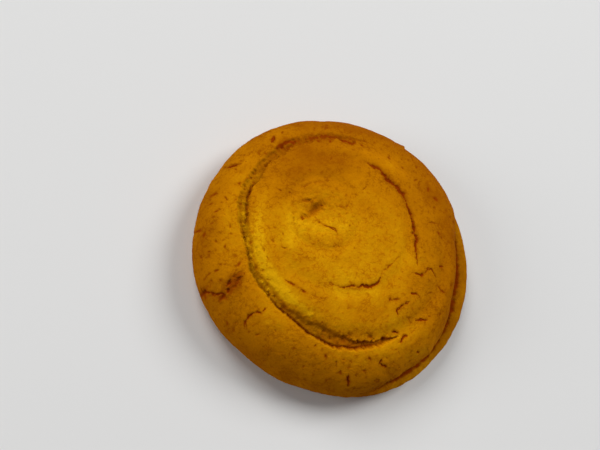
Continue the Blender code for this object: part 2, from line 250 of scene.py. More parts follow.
@dataclass(frozen=True)
class Dome:
    """The plain turned dome that the relief is worked into."""

    radius: float = 35.0 * MM
    height: float = 19.2 * MM
    widest_z: float = 5.5 * MM
    base_in: float = 2.5 * MM  # how far the flat base stops short of the widest ring
    power: float = 2.6  # 2 is an ellipse; more is flatter on top and rounder at the shoulder
    bulges: Rows = (  # how the outline leaves a circle: waves a turn, cosine part, sine part
        (2, 0.22, -0.30), (3, -0.34, -0.12), (4, -0.02, 0.13), (5, 0.02, -0.11),
    )
    samples: int = 3000  # of the section's top and of its side
    base_samples: int = 800
    segments: int = 1260
    middle: float = 2.0 * MM  # the rings lie wider apart within this radius
    gap_z: tuple[float, float] = (5.8 * MM, 7.2 * MM)  # and closest together between these heights
    side_z: float = 5.6 * MM  # the side begins below this height
    base_z: float = 0.01 * MM  # and the base below this one
    middle_step: float = 0.34 * MM
    top_step: float = 0.19 * MM
    gap_step: float = 0.06 * MM
    side_step: float = 0.30 * MM
    base_step: float = 0.80 * MM

    def section(self) -> tuple[np.ndarray, np.ndarray, np.ndarray]:
        """Draw the half section finely, from the middle of the top round to the middle of the base.

        Returns:
            The radius, the height and the run along the section of each of its points.
        """
        turn = np.linspace(0.0, math.pi / 2.0, self.samples)
        top_radius = self.radius * np.sin(turn) ** (2.0 / self.power)
        top_z = self.widest_z + (self.height - self.widest_z) * np.cos(turn)
        side_radius = self.radius - self.base_in * (1.0 - np.cos(turn[1:]))
        side_z = self.widest_z * (1.0 - np.sin(turn[1:]))
        base_radius = np.linspace(side_radius[-1], 0.0, self.base_samples)[1:]
        radius = np.concatenate([top_radius, side_radius, base_radius])
        z = np.concatenate([top_z, side_z, np.zeros(len(base_radius))])
        run = np.concatenate([[0.0], np.cumsum(np.hypot(np.diff(radius), np.diff(z)))])
        return radius, z, run

    def step(self, radius: float, z: float) -> float:
        """Choose the run to the next ring.

        Args:
            radius: The ring's radius.
            z: The ring's height.

        Returns:
            The distance along the section.
        """
        if z < self.base_z:
            return self.base_step
        if radius < self.middle:
            return self.middle_step
        if self.gap_z[0] < z < self.gap_z[1]:
            return self.gap_step
        return self.top_step if z > self.side_z else self.side_step

    def rings(self) -> list[tuple[float, float]]:
        """Place the rings of the mesh along the section.

        Returns:
            The radius and the height of each ring.
        """
        radius, z, run = self.section()
        stops = [0.0]
        while stops[-1] < run[-1] - self.base_step:
            here = stops[-1]
            step = self.step(float(np.interp(here, run, radius)), float(np.interp(here, run, z)))
            stops.append(here + step)
        stops.append(float(run[-1]))
        return [(float(np.interp(at, run, radius)), float(np.interp(at, run, z))) for at in stops]

    def turned(self) -> bpy.types.Mesh:
        """Turn the section round Z.

        Returns:
            The closed mesh of the plain dome.
        """
        line = bpy.data.meshes.new("section")
        corners = [(radius, 0.0, z) for radius, z in self.rings()]
        line.from_pydata(corners, [(i, i + 1) for i in range(len(corners) - 1)], [])
        turned = bpy.data.objects.new("section", line)
        bpy.context.scene.collection.objects.link(turned)
        screw = turned.modifiers.new("turn", "SCREW")
        screw.axis = "Z"
        screw.steps = self.segments
        screw.render_steps = self.segments
        screw.use_merge_vertices = True
        screw.merge_threshold = 0.5 * TINY
        graph = bpy.context.evaluated_depsgraph_get()
        mesh = bpy.data.meshes.new_from_object(turned.evaluated_get(graph))
        bpy.data.objects.remove(turned, do_unlink=True)
        bpy.data.meshes.remove(line)
        return mesh

    def skin(self, places: np.ndarray) -> Skin:
        """Work out what the relief needs at each point of the turned mesh.

        Args:
            places: The mesh's points, one a row.

        Returns:
            The skin, with no relief yet.
        """
        radius, z, run = self.section()
        out = np.gradient(-z, run)
        up = np.gradient(radius, run)
        falling = run <= run[np.argmax(z < TINY)]
        here = np.hypot(places[:, 0], places[:, 1])
        at_run = np.interp(-places[:, 2], -z[falling], run[falling])
        at_run = np.where(places[:, 2] < TINY, run[-1] - here, at_run)
        sideways = np.interp(at_run, run, out) / np.maximum(here, TINY)
        outward = np.column_stack(
            [places[:, 0] * sideways, places[:, 1] * sideways, np.interp(at_run, run, up)]
        )
        return Skin(places=places, outward=outward, run=at_run)

    def outline(self, angle: np.ndarray) -> np.ndarray:
        """Return the outline's radius over the plain circle's."""
        uneven = sum(c * MM * np.cos(n * angle) + s * MM * np.sin(n * angle) for n, c, s in self.bulges)
        return 1.0 + uneven / self.radius


@dataclass(frozen=True)
class Dip:
    """The shallow dip between two turns of the coil, in millimetres."""

    centre: tuple[float, float]
    radius: float
    depth: float
    half_width: float

    def press(self, skin: Skin) -> None:
        """Press the dip into the skin."""
        distance = np.hypot(skin.x - self.centre[0] * MM, skin.y - self.centre[1] * MM)
        skin.depth += self.depth * MM * bell((distance - self.radius * MM) / (self.half_width * MM))


@dataclass(frozen=True)
class Dimple:
    """A long or round hollow, in millimetres, with its heading in degrees."""

    FRAY = 0.2  # how far the edge strays, of its distance

    centre: tuple[float, float]
    heading: float
    half_length: float
    half_width: float
    depth: float
    # how much browner the hollow is inside: painted shade
    dark: float = 0.0

    def press(self, skin: Skin, jagged: np.ndarray) -> None:
        """Press the dimple into the skin, browner inside with painted shade.

        Args:
            skin: The skin.
            jagged: A fine uneven field over the skin, which frays the dimple's edge.
        """
        dx = skin.x - self.centre[0] * MM
        dy = skin.y - self.centre[1] * MM
        turn = math.radians(self.heading)
        away = from_oval(dx, dy, turn, self.half_length * MM, self.half_width * MM)
        inside = bell(away * (1.0 + self.FRAY * jagged))
        skin.depth += self.depth * MM * inside
        # painted shade: the hollow is made browner inside
        skin.toasted_and_shaded += self.dark * inside


@dataclass(frozen=True)
class Seam:
    """The wide open seam between the outer turn of the coil and the rest, with torn crumb inside."""

    centre: tuple[float, float] = (0.0, 1.5 * MM)
    radius: float = 25.9 * MM
    course: Table = Table(  # the lip counts from its circle, the floor is a share of the opening
        "degrees lip_mm opening_mm depth_mm floor wall_mm",
        (-290.0, 0.3, 0.01, 0.0, 0.7, 0.5), (-282.0, 0.8, 0.7, 0.25, 0.7, 0.4),
        (-272.0, 1.4, 1.6, 0.34, 0.7, 0.7), (-262.0, 1.7, 2.2, 0.38, 0.75, 0.7),
        (-248.0, 2.0, 2.5, 0.42, 0.75, 0.7), (-235.0, 2.0, 2.5, 0.55, 0.75, 0.7),
        (-225.0, 1.9, 2.3, 0.55, 0.75, 0.5), (-215.0, 2.0, 2.7, 0.6, 0.75, 0.6),
        (-205.0, 2.0, 2.7, 0.65, 0.75, 0.6), (-195.0, 1.8, 2.9, 0.8, 0.75, 0.7),
        (-187.0, 1.3, 2.7, 0.8, 0.7, 0.6), (-181.0, 0.6, 2.2, 0.7, 0.7, 0.5),
        (-176.0, 0.0, 1.9, 0.8, 0.65, 0.5), (-170.0, -0.2, 1.9, 0.9, 0.6, 0.5),
        (-163.0, 0.0, 2.0, 0.9, 0.6, 0.5), (-155.0, 0.2, 2.2, 1.0, 0.6, 0.5),
        (-148.0, 0.4, 2.5, 0.9, 0.55, 0.5), (-140.0, 0.4, 2.6, 0.85, 0.5, 0.45),
        (-132.0, 0.2, 2.3, 0.70, 0.5, 0.4), (-125.0, 0.5, 2.8, 0.55, 0.5, 0.4),
        (-119.0, 1.0, 3.8, 0.55, 0.55, 0.4), (-113.0, 1.3, 4.3, 0.55, 0.55, 0.4),
        (-105.0, 2.0, 4.5, 0.50, 0.5, 0.4), (-98.0, 2.1, 3.7, 0.6, 0.6, 0.4),
        (-92.0, 1.6, 2.6, 0.75, 0.6, 0.4), (-85.0, 1.3, 1.8, 0.8, 0.6, 0.35),
        (-79.0, 1.2, 1.9, 0.8, 0.55, 0.3), (-75.0, 0.9, 1.9, 0.8, 0.5, 0.3),
        (-69.0, 0.6, 0.9, 0.6, 0.5, 0.25), (-64.0, 0.3, 0.01, 0.0, 0.5, 0.25),
    )
    slope: Table = Table(  # the pale slope that climbs on inwards
        "degrees run_mm depth_mm paler",
        (-215.0, 0.01, 0.0, 0.0), (-200.0, 0.01, 0.0, 0.08), (-186.0, 1.6, 0.12, 0.28),
        (-170.0, 2.6, 0.14, 0.46), (-152.0, 2.6, 0.14, 0.44), (-138.0, 2.6, 0.06, 0.30),
        (-124.0, 1.6, 0.00, 0.14), (-108.0, 0.5, 0.0, 0.04), (-75.0, 0.01, 0.0, 0.06),
        (-55.0, 0.01, 0.0, 0.0),
    )
    clefts: Table = Table(  # the clefts along the outer and the inner lip, how much browner the floor is, partly painted shade, and the crumb between them
        "degrees outer_mm inner_mm browner crumb",
        (-280.0, 0.0, 0.1, 0.26, 0.0), (-262.0, 0.0, 0.2, 0.30, 0.0), (-248.0, 0.0, 0.3, 0.28, 0.1),
        (-235.0, 0.1, 0.5, 0.22, 0.2), (-222.0, 0.2, 0.5, 0.22, 0.3), (-200.0, 0.2, 0.5, 0.22, 0.7),
        (-186.0, 0.3, 0.4, 0.16, 1.0), (-170.0, 0.3, 0.0, 0.00, 1.0), (-157.0, 0.2, 0.0, 0.00, 1.0),
        (-148.0, 0.3, 0.0, 0.12, 1.0), (-140.0, 0.5, 0.0, 0.25, 0.8), (-132.0, 0.6, 0.0, 0.35, 0.65),
        (-126.0, 0.5, 0.0, 0.44, 0.8), (-118.0, 0.6, 0.0, 0.58, 0.9), (-112.0, 0.5, 0.0, 0.64, 0.9),
        (-105.0, 0.5, 0.0, 0.74, 0.6), (-98.0, 0.5, 0.1, 0.72, 0.3), (-88.0, 0.5, 0.2, 0.65, 0.1),
        (-79.0, 0.3, 0.1, 0.45, 0.1), (-66.0, 0.3, 0.0, 0.35, 0.1),
    )
    pockets: Rows = (  # degrees, distance from the centre, half-width and depth of the holes, darkened with painted shade
        (-74.0, 25.6, 0.55, 0.7), (-81.5, 24.7, 0.60, 0.6), (-85.5, 25.9, 0.60, 0.5),
        (-94.0, 24.7, 0.60, 0.4), (-96.5, 26.0, 0.80, 0.5), (-100.5, 25.4, 0.70, 0.3),
        (-88.5, 25.8, 0.60, 0.4), (-91.5, 26.3, 0.60, 0.4), (-104.0, 26.2, 0.32, 0.5),
        (-108.5, 25.1, 0.45, 0.5), (-117.0, 23.5, 0.40, 0.15), (-129.0, 23.2, 0.45, 0.2),
        (-133.5, 24.9, 0.50, 0.5), (-141.5, 24.6, 0.35, 0.5), (-144.0, 25.3, 0.35, 0.6),
        (-149.0, 24.2, 0.32, 0.4), (-151.0, 23.4, 0.30, 0.4), (-157.0, 23.3, 0.35, 0.4),
        (-160.0, 24.5, 0.35, 0.4), (-166.0, 25.3, 0.60, 0.4), (-174.0, 24.3, 0.40, 0.5),
        (-179.5, 23.7, 0.32, 0.3), (-190.0, 25.4, 0.35, 0.5), (-196.0, 25.7, 0.35, 0.5),
        (-203.0, 26.3, 0.40, 0.5), (-209.0, 26.3, 0.35, 0.5), (-214.0, 27.1, 0.35, 0.4),
        (-221.0, 26.5, 0.40, 0.5), (-230.0, 26.6, 0.40, 0.6), (-236.0, 27.0, 0.40, 0.6),
        (-243.0, 26.7, 0.40, 0.6), (-250.0, 26.6, 0.40, 0.5), (-257.0, 26.6, 0.40, 0.5),
        (-270.0, 26.0, 0.50, 0.8), (-274.5, 25.8, 0.35, 0.5), (-278.0, 25.9, 0.35, 0.7),
    )
    flecks: Rows = (  # degrees, distance from the centre, half-width and height of the pale crumbs
        (-73.0, 24.4, 0.45, 0.25), (-104.0, 23.0, 0.28, 0.25), (-107.5, 25.6, 0.32, 0.5),
        (-120.0, 23.1, 0.45, 0.3), (-117.0, 26.1, 0.40, 0.15), (-119.5, 24.3, 0.80, 0.5),
        (-131.0, 25.8, 0.32, 0.25), (-135.5, 25.5, 0.32, 0.25), (-151.5, 24.8, 0.45, 0.5),
        (-155.0, 24.2, 0.55, 0.4), (-167.0, 23.8, 0.60, 0.2), (-171.0, 22.9, 0.60, 0.2),
        (-178.0, 25.0, 0.60, 0.5), (-180.0, 24.2, 0.40, 0.4), (-184.0, 25.7, 0.40, 0.5),
        (-190.0, 26.3, 0.45, 0.5), (-197.0, 26.5, 0.40, 0.4), (-206.0, 25.8, 0.40, 0.3),
        (-213.0, 26.4, 0.40, 0.4), (-222.0, 25.7, 0.35, 0.3), (-226.0, 25.6, 0.32, 0.3),
        (-232.0, 25.8, 0.32, 0.2), (-254.0, 25.7, 0.32, 0.2), (-261.0, 25.6, 0.30, 0.2),
        (-276.5, 25.2, 0.28, 0.2),
    )
    wander: Rows = ((9, 0.10, 2.1), (17, 0.10, 4.0), (31, 0.08, 0.6))  # waves a turn, reach, phase
    coarse: Unevenness = Unevenness(2.2 * MM, 11, 3)
    crumbs: Unevenness = Unevenness(1.3 * MM, 12, 3)
    fine: Unevenness = Unevenness(0.65 * MM, 13, 2)
    ragged: float = 0.30 * MM  # how far the lips stray
    lumpy: float = 0.40 * MM  # how far the crumb rises and sinks
    reach: float = 9.0 * MM  # nothing changes farther from the circle than this
    lowest_z: float = 9.0 * MM
    open_at: float = 0.6 * MM  # the opening from which the seam shows fully
    edge_run: float = 0.28 * MM  # the crust ends within this run
    cleft_in: float = 0.40 * MM  # the clefts lie this far in from their lips
    outer_half: float = 0.32 * MM
    inner_half: float = 0.36 * MM
    # painted shade: a cleft darkens with its depth, up to the darkest value
    full_cleft: float = 0.7 * MM  # the depth at which a cleft is fully dark
    darkest: float = 0.75
    full_slope: float = 0.10 * MM  # the depth from which the slope counts in full
    pale_in: float = 22.5 * MM
    pale_half: float = 1.3 * MM
    rust: float = 0.55
    rust_from: float = 0.38  # the crumb rusts where it is browner than this

    def round_it(self, skin: Skin) -> tuple[np.ndarray, np.ndarray]:
        """Find each point's distance from the seam's centre, and its degrees round it.

        Args:
            skin: The skin.

        Returns:
            The distances, and the degrees from -300 to 60.
        """
        dx = skin.x - self.centre[0]
        dy = skin.y - self.centre[1]
        degrees = np.degrees(np.arctan2(dy, dx))
        return np.hypot(dx, dy), np.where(degrees > 60.0, degrees - 360.0, degrees)

    def tear(self, skin: Skin) -> None:
        """Open the seam in the skin, with a steep outer wall, a crumbly floor and a climb inwards.

        Args:
            skin: The skin.
        """
        distance, degrees = self.round_it(skin)
        near = np.flatnonzero((np.abs(distance - self.radius) < self.reach) & (skin.z > self.lowest_z))
        distance = distance[near]
        degrees = degrees[near]
        coarse = self.coarse.at(skin.places[near])
        crumbs = self.crumbs.at(skin.places[near])
        fine = self.fine.at(skin.places[near])
        opening = self.course.at(degrees, "opening_mm")
        opened = smooth(opening / self.open_at)
        lip = self.course.at(degrees, "lip_mm") + waves(np.radians(degrees), self.wander)
        shown = self.clefts.at(degrees, "crumb")
        ragged = self.ragged * opened * (2.0 - shown)
        inwards = self.radius + lip - distance + ragged * (0.6 * coarse + 0.4 * fine)
        share = inwards / opening + 0.09 * coarse + 0.05 * crumbs + 0.06 * fine
        wall = smooth(inwards / np.minimum(self.course.at(degrees, "wall_mm"), 0.4 * opening))
        floor = self.course.at(degrees, "floor")
        climb = smooth((share - floor) / (1.0 - floor))
        slope_depth = self.slope.at(degrees, "depth_mm")
        slope_run = self.slope.at(degrees, "run_mm") + 0.3 * opening
        down_slope = 1.0 - smooth((inwards - 0.7 * opening) / slope_run)
        outer = self.clefts.at(degrees, "outer_mm") * bell((inwards - self.cleft_in) / self.outer_half)
        inner_at = opening * (0.5 + 0.5 * floor) - self.cleft_in
        inner = self.clefts.at(degrees, "inner_mm") * bell((inwards - inner_at) / self.inner_half)
        inner *= smooth(0.5 + 1.2 * coarse)
        torn = smooth(inwards / self.edge_run) * opened
        bare = wall * (1.0 - climb) * opened
        on_slope = wall * down_slope * smooth(slope_depth / self.full_slope) * opened
        depth = self.course.at(degrees, "depth_mm") * bare + slope_depth * wall * down_slope
        depth += wall * opened * (outer + inner)
        lumps = self.lumpy * (0.3 * coarse + 0.3 * crumbs + 0.4 * fine)
        skin.depth[near] += depth + lumps * np.maximum(bare, 1.3 * on_slope)
        skin.show_crumb(near, shown * np.maximum(torn * (1.0 - climb), 0.25 * on_slope))
        pale = bell((distance - self.pale_in) / self.pale_half)
        skin.toasted_and_shaded[near] -= self.slope.at(degrees, "paler") * pale
        # browner floor: partly the crumb's toasting, partly painted shade in the seam's depth
        browner = self.clefts.at(degrees, "browner")
        skin.toasted_and_shaded[near] += browner * wall * (1.0 - climb**2) * opened
        rusty = smooth(1.6 * crumbs + 0.9 * fine + 1.6 * (browner - self.rust_from))
        rust = (1.0 - shown) * self.rust * rusty * bare * wall
        # painted shade: the clefts darken with their depth
        cleft_shade = wall**3 * opened * np.clip((outer + inner) / self.full_cleft, 0.0, self.darkest)
        skin.show_crack_and_shade(near, np.maximum(rust, cleft_shade))

    def spots(
        self, skin: Skin, jagged: np.ndarray, rows: Rows
    ) -> Iterator[tuple[np.ndarray, np.ndarray, float]]:
        """Find the small places in the seam that a hole or a crumb takes up.

        Args:
            skin: The skin.
            jagged: A fine uneven field over the skin, which breaks up their edges.
            rows: The holes or the crumbs.

        Yields:
            The points around each, how far inside it each point lies, 0 to 1, and its depth or height.
        """
        for degrees, distance, half, much in rows:
            x = self.centre[0] + distance * MM * math.cos(math.radians(degrees))
            y = self.centre[1] + distance * MM * math.sin(math.radians(degrees))
            near = skin.near(x, y, 2.6 * half * MM)
            away = np.hypot(skin.x[near] - x, skin.y[near] - y) / (half * MM)
            yield near, bell(away * (1.0 + 0.45 * jagged[near])), much

    def crumble(self, skin: Skin, jagged: np.ndarray) -> None:
        """Press the pockets into the seam, darkened with painted shade, and leave the pale crumbs
        standing in it.

        Args:
            skin: The skin.
            jagged: A fine uneven field over the skin, which breaks up their edges.
        """
        for near, inside, depth in self.spots(skin, jagged, self.pockets):
            skin.depth[near] += 0.6 * depth * MM * inside
            # painted shade in each pocket: browner and darker with its depth
            skin.toasted_and_shaded[near] += 0.35 * inside
            skin.show_crack_and_shade(near, min(1.0, 0.9 * depth) * inside)
        for near, inside, height in self.spots(skin, jagged, self.flecks):
            skin.depth[near] -= 0.45 * height * MM * inside
            skin.toasted_and_shaded[near] -= 0.12 * inside
            skin.crack[near] *= 1.0 - 0.8 * inside


@dataclass(frozen=True)
class Tear:
    """A narrow crack that runs along a route in the plan, in millimetres, and closes at its ends."""

    MARGIN = 1.5 * MM  # nothing changes farther from the route's box than this
    LOWEST_Z = 6.5 * MM
    NARROWEST = 0.08 * MM  # half the width of the finest crack
    FRAY = 0.16 * MM  # how far its sides stray
    PUFF = 0.08 * MM  # how far the crust rises beside a crack
    SINK = 0.32  # how far its bottom sinks in, of its depth

    opening: float
    depth: float
    route: Route
    # how dark the crack is: its own colour, partly painted shade
    browned: float = 1.0
    flat: float = 0.0  # the share of its width that is flat at the bottom

    def tear(self, skin: Skin, jagged: np.ndarray, uneven: np.ndarray) -> None:
        """Open the crack in the skin.

        Args:
            skin: The skin.
            jagged: A fine uneven field over the skin, which frays the crack's sides.
            uneven: A slower one, which makes it open and close along its way.
        """
        corners = np.array(self.route) * MM
        low = corners.min(axis=0) - self.MARGIN
        high = corners.max(axis=0) + self.MARGIN
        inside = (skin.x > low[0]) & (skin.x < high[0]) & (skin.y > low[1]) & (skin.y < high[1])
        near = np.flatnonzero(inside & (skin.z > self.LOWEST_Z))
        away, along = self.from_route(skin.x[near], skin.y[near], corners)
        taper = np.sqrt(np.clip(5.0 * along * (1.0 - along), 0.06, 1.0))
        half = 0.5 * self.opening * MM * taper * (1.0 + 0.5 * uneven[near])
        edge = np.maximum(half, self.NARROWEST)
        across = np.abs(away + (self.FRAY + 0.28 * edge) * jagged[near]) / edge
        cut = 1.0 - smooth((across - self.flat) / (1.0 - self.flat))
        puff = self.PUFF * self.depth * bell((across - 1.8) / 0.7) * taper
        sunk = self.SINK * self.depth * MM * taper * (1.0 + 0.4 * uneven[near]) * cut
        skin.depth[near] += sunk - puff
        # the crack's colour, deepened with painted shade; around it the crust browns, and the paler ring
        # on its lips is a painted highlight
        skin.show_crack_and_shade(near, self.browned * np.sqrt(taper) * smooth(1.4 * cut))
        pale = bell((across - 2.1) / 0.8)
        skin.toasted_and_shaded[near] += self.browned * taper * (0.42 * bell(across / 2.2) - 0.14 * pale)

    @staticmethod
    def from_route(x: np.ndarray, y: np.ndarray, corners: np.ndarray) -> tuple[np.ndarray, np.ndarray]:
        """Measure from the route.

        Args:
            x: Each point's x.
            y: Each point's y.
            corners: The route's corners.

        Returns:
            The distance from the route, and how far along it the nearest place lies, 0 to 1.
        """
        lengths = np.hypot(*np.diff(corners, axis=0).T)
        before = np.concatenate([[0.0], np.cumsum(lengths)])
        nearest = np.full(x.shape, np.inf)
        along = np.zeros(x.shape)
        for start, end, length, run in zip(corners, corners[1:], lengths, before):
            step = (end - start) / length
            ahead = np.clip((x - start[0]) * step[0] + (y - start[1]) * step[1], 0.0, length)
            away = np.hypot(x - start[0] - ahead * step[0], y - start[1] - ahead * step[1])
            closer = away < nearest
            nearest = np.where(closer, away, nearest)
            along = np.where(closer, (run + ahead) / before[-1], along)
        return nearest, along


@dataclass(frozen=True)
class Foot:
    """The lower layer that stands out past the dome on one side, with a torn gap above it."""

    course: Table = Table(  # how far the dome draws in and the foot pushes out
        "degrees in_mm out_mm",
        (-128.0, 0.0, 0.0), (-118.0, 0.0, 0.7), (-108.0, 0.0, 0.2), (-92.0, 0.0, 0.3),
        (-78.0, 0.0, 0.8), (-71.0, 1.1, 0.8), (-60.0, 1.3, 0.4), (-48.0, 1.5, 0.4), (-31.0, 2.4, 1.0),
        (-15.0, 3.2, 1.3), (-2.0, 3.1, 1.7), (9.0, 1.9, 1.5), (15.0, -0.1, 1.7), (24.0, -0.6, 0.9),
        (46.0, -0.3, 0.3), (60.0, 0.0, 0.0),
    )
    chip: Table = Table(  # the same for the chip in the rim at the back
        "degrees in_mm out_mm",
        (50.0, 0.0, 0.0), (54.8, 0.1, -0.1), (55.4, -0.5, 0.4), (60.0, 0.0, 0.0),
    )
    rounding: tuple[float, ...] = (-7.0, -3.5, 0.0, 3.5, 7.0)  # degrees over which it evens out
    wander: Rows = ((11, 0.14, 0.4), (19, 0.11, 2.6), (37, 0.07, 5.0))  # waves a turn, reach, phase
    wander_z: float = 1.6 * MM
    rough: Unevenness = Unevenness(1.7 * MM, 21, 3)
    fine: Unevenness = Unevenness(1.3 * MM, 22, 3)
    gap_z: float = 7.0 * MM
    gap_low: float = 0.74 * MM
    gap_half: float = 0.15 * MM
    gap_stray: float = 0.09 * MM
    gap_in: float = 0.45 * MM
    gap_down: float = 0.7 * MM
    edge_half: float = 1.1 * MM  # the ragged edge beside the gap: half its width, and how far it strays
    edge_up: float = 0.16 * MM
    edge_in: float = 0.12 * MM
    full_z: float = 5.2 * MM
    tuck_z: tuple[float, float] = (16.0 * MM, 9.5 * MM)
    undercut: float = 1.1 * MM
    undercut_z: tuple[float, float] = (9.0 * MM, 7.4 * MM)
    shade_z: float = 8.0 * MM  # the painted shade, a browner band under the dome's overhanging edge
    shade_half: float = 0.8 * MM
    crust_z: float = 2.0 * MM  # the foot's own paler crust starts below this

    def rounded(self, degrees: np.ndarray, column: str) -> np.ndarray:
        """Read one column of the course with its corners rounded off, and of the chip as it is."""
        spread = [self.course.at(degrees + away, column) for away in self.rounding]
        return sum(spread) / len(spread) + self.chip.at(degrees, column)

    def shift(self, skin: Skin) -> tuple[np.ndarray, np.ndarray]:
        """Work out how far the side moves for the foot, and paint shade into the gap and under the dome's
        edge.

        Args:
            skin: The skin.

        Returns:
            How far each point moves outwards, and how far up.
        """
        angle = np.arctan2(skin.y, skin.x)
        degrees = np.degrees(angle)
        z = skin.z
        drawn_in = self.rounded(degrees, "in_mm")
        present = smooth(drawn_in / MM)
        rough = self.rough.at(skin.places)
        fine = self.fine.at(skin.places)
        uneven = waves(angle, self.wander) * present
        half = self.gap_half * (1.0 + 0.5 * rough)
        gap = present * bell((z - self.gap_z + self.gap_low - self.gap_stray * fine) / half)
        tucked = smooth((self.tuck_z[0] - z) / (self.tuck_z[0] - self.tuck_z[1]))
        on_foot = smooth((self.gap_z - z) / (self.gap_z - self.full_z))
        hollow = smooth((self.undercut_z[0] - z) / (self.undercut_z[0] - self.undercut_z[1]))
        pull_in = (drawn_in + uneven) * tucked + self.undercut * present * hollow
        push_out = self.rounded(degrees, "out_mm") * on_foot
        edge = bell((z - self.gap_z) / self.edge_half) * present
        lift = uneven * bell((z - self.gap_z) / self.wander_z) + self.edge_up * rough * edge
        everywhere = np.arange(len(z))
        # painted shade: the gap under the dome's edge is darkened with the dark crack colour
        skin.show_crack_and_shade(everywhere, smooth(1.5 * gap) * np.clip(0.95 + 0.7 * rough, 0.4, 1.0))
        # painted shade: a browner band under the dome's overhang; the foot's own paler crust is its
        # colour
        shaded = bell((z - self.shade_z) / self.shade_half) * present
        crust = present * on_foot * smooth(z / self.crust_z)
        skin.toasted_and_shaded += 0.3 * shaded + crust * (0.10 * rough - 0.18)
        skin.show_crumb(everywhere, 0.5 * crust)
        out = push_out - pull_in * (1.0 - on_foot) - self.gap_in * gap - self.edge_in * rough * edge
        return out, lift - self.gap_down * gap


@dataclass(frozen=True)
class Crackle:
    """The short fine cracks that a seeded draw strews over the crust, in millimetres."""

    count: int = 210
    seed: int = 8
    pieces: tuple[int, int] = (1, 4)
    piece: tuple[float, float] = (0.35, 0.85)
    opening: tuple[float, float] = (0.22, 0.42)
    depth: tuple[float, float] = (0.12, 0.38)
    stray: float = 0.8  # how far a crack's first heading strays from the way round
    bend: float = 0.9
    # how dark a crack is for its depth: its colour and painted shade
    browned: float = 1.6
    reach: float = 33.8
    rim: float = 27.3  # the outer turn starts here
    share: float = 0.14  # of the cracks drawn farther in, this share is kept

    def tears(self) -> tuple[Tear, ...]:
        """Draw the cracks.

        Returns:
            The cracks.
        """
        draw = np.random.default_rng(self.seed)
        tears = []
        while len(tears) < self.count:
            radius = self.reach * math.sqrt(draw.uniform())
            angle = draw.uniform(0.0, 2.0 * math.pi)
            heading = angle + math.pi / 2.0 + draw.normal(0.0, self.stray)
            x = radius * math.cos(angle)
            y = radius * math.sin(angle)
            route = [(x, y)]
            for _piece in range(int(draw.integers(*self.pieces))):
                length = draw.uniform(*self.piece)
                heading += draw.normal(0.0, self.bend)
                x += length * math.cos(heading)
                y += length * math.sin(heading)
                route.append((x, y))
            opening = draw.uniform(*self.opening)
            depth = draw.uniform(*self.depth)
            if draw.uniform() < (1.0 if radius > self.rim else self.share):
                tears.append(Tear(opening, depth, tuple(route), self.browned * depth))
        return tuple(tears)


@dataclass(frozen=True)
class Pores:
    """Small pits in the crust: the plainer ones where they are, the rest scattered by a seeded draw."""

    plain: Rows = (  # x, y, half-width, depth
        (8.0, -14.1, 0.35, 0.5), (9.5, -14.0, 0.35, 0.5), (-7.2, -27.5, 0.35, 0.5),
        (2.6, -30.2, 0.35, 0.5), (3.6, -27.6, 0.4, 0.5), (-34.4, 3.3, 0.45, 0.5),
        (-33.4, 1.6, 0.4, 0.4), (-31.2, 11.8, 0.55, 0.5), (-32.0, 9.3, 0.35, 0.4),
        (-31.0, 7.0, 0.35, 0.4), (-29.3, -1.7, 0.35, 0.4), (-26.5, -6.0, 0.4, 0.5),
        (-26.0, 13.8, 0.35, 0.4), (-2.7, 7.6, 0.4, 0.3), (-1.4, 7.8, 0.35, 0.3),
        (-1.0, 3.0, 0.35, 0.3), (-4.0, -2.2, 0.3, 0.25), (24.0, 3.2, 0.5, 0.4),
        (26.6, -9.6, 0.4, 0.5), (0.6, 26.9, 0.5, 0.6), (3.3, 26.4, 0.5, 0.6), (5.6, 26.0, 0.4, 0.5),
        (-3.0, 26.3, 0.4, 0.5), (-6.0, 26.2, 0.4, 0.4), (-33.1, -11.2, 0.7, 0.8),
        (-29.8, -12.9, 0.5, 0.7), (12.5, 22.6, 0.35, 0.4), (16.0, 20.2, 0.35, 0.4),
        (22.9, 15.1, 0.35, 0.4), (24.6, 12.6, 0.5, 0.4),
    )
    count: int = 280
    seed: int = 5
    half_width: tuple[float, float] = (0.13, 0.30)
    depth: tuple[float, float] = (0.08, 0.34)
    reach: float = 34.6
    rim: float = 27.5  # the outer turn starts here
    share: float = 0.07  # of the pits drawn farther in, this share is kept
    sink: float = 0.30  # how far a pit sinks in, of its depth
    long: float = 1.5  # a pit's length and width, of its half-width
    wide: float = 0.75
    fray: float = 0.5

    def press(self, skin: Skin, jagged: np.ndarray) -> None:
        """Press the pits into the skin.

        Args:
            skin: The skin.
            jagged: A fine uneven field over the skin, which frays the pits' edges.
        """
        for x, y, half, depth in self.plain + self.scattered():
            near = skin.near(x * MM, y * MM, 4.0 * half * MM)
            turn = math.atan2(x, -y) + 0.9 * math.sin(7.0 * x + 3.0 * y)
            dx = skin.x[near] - x * MM
            dy = skin.y[near] - y * MM
            away = from_oval(dx, dy, turn, self.long, self.wide) / (half * MM)
            inside = bell(away * (1.0 + self.fray * jagged[near]))
            skin.depth[near] += self.sink * depth * MM * inside
            # painted shade: each pit darkens and browns with its depth
            skin.show_crack_and_shade(near, np.clip(2.2 * depth, 0.0, 0.9) * inside)
            skin.toasted_and_shaded[near] += 0.35 * depth * bell(0.5 * away)

    def scattered(self) -> Rows:
        """Draw the scattered pits, most of them on the outer turn.

        Returns:
            Rows of x, y, half-width and depth.
        """
        draw = np.random.default_rng(self.seed)
        rows = []
        while len(rows) < self.count:
            radius = self.reach * math.sqrt(draw.uniform())
            angle = draw.uniform(0.0, 2.0 * math.pi)
            half = draw.uniform(*self.half_width)
            depth = draw.uniform(*self.depth)
            if draw.uniform() < (1.0 if radius > self.rim else self.share):
                rows.append((radius * math.cos(angle), radius * math.sin(angle), half, depth))
        return tuple(rows)


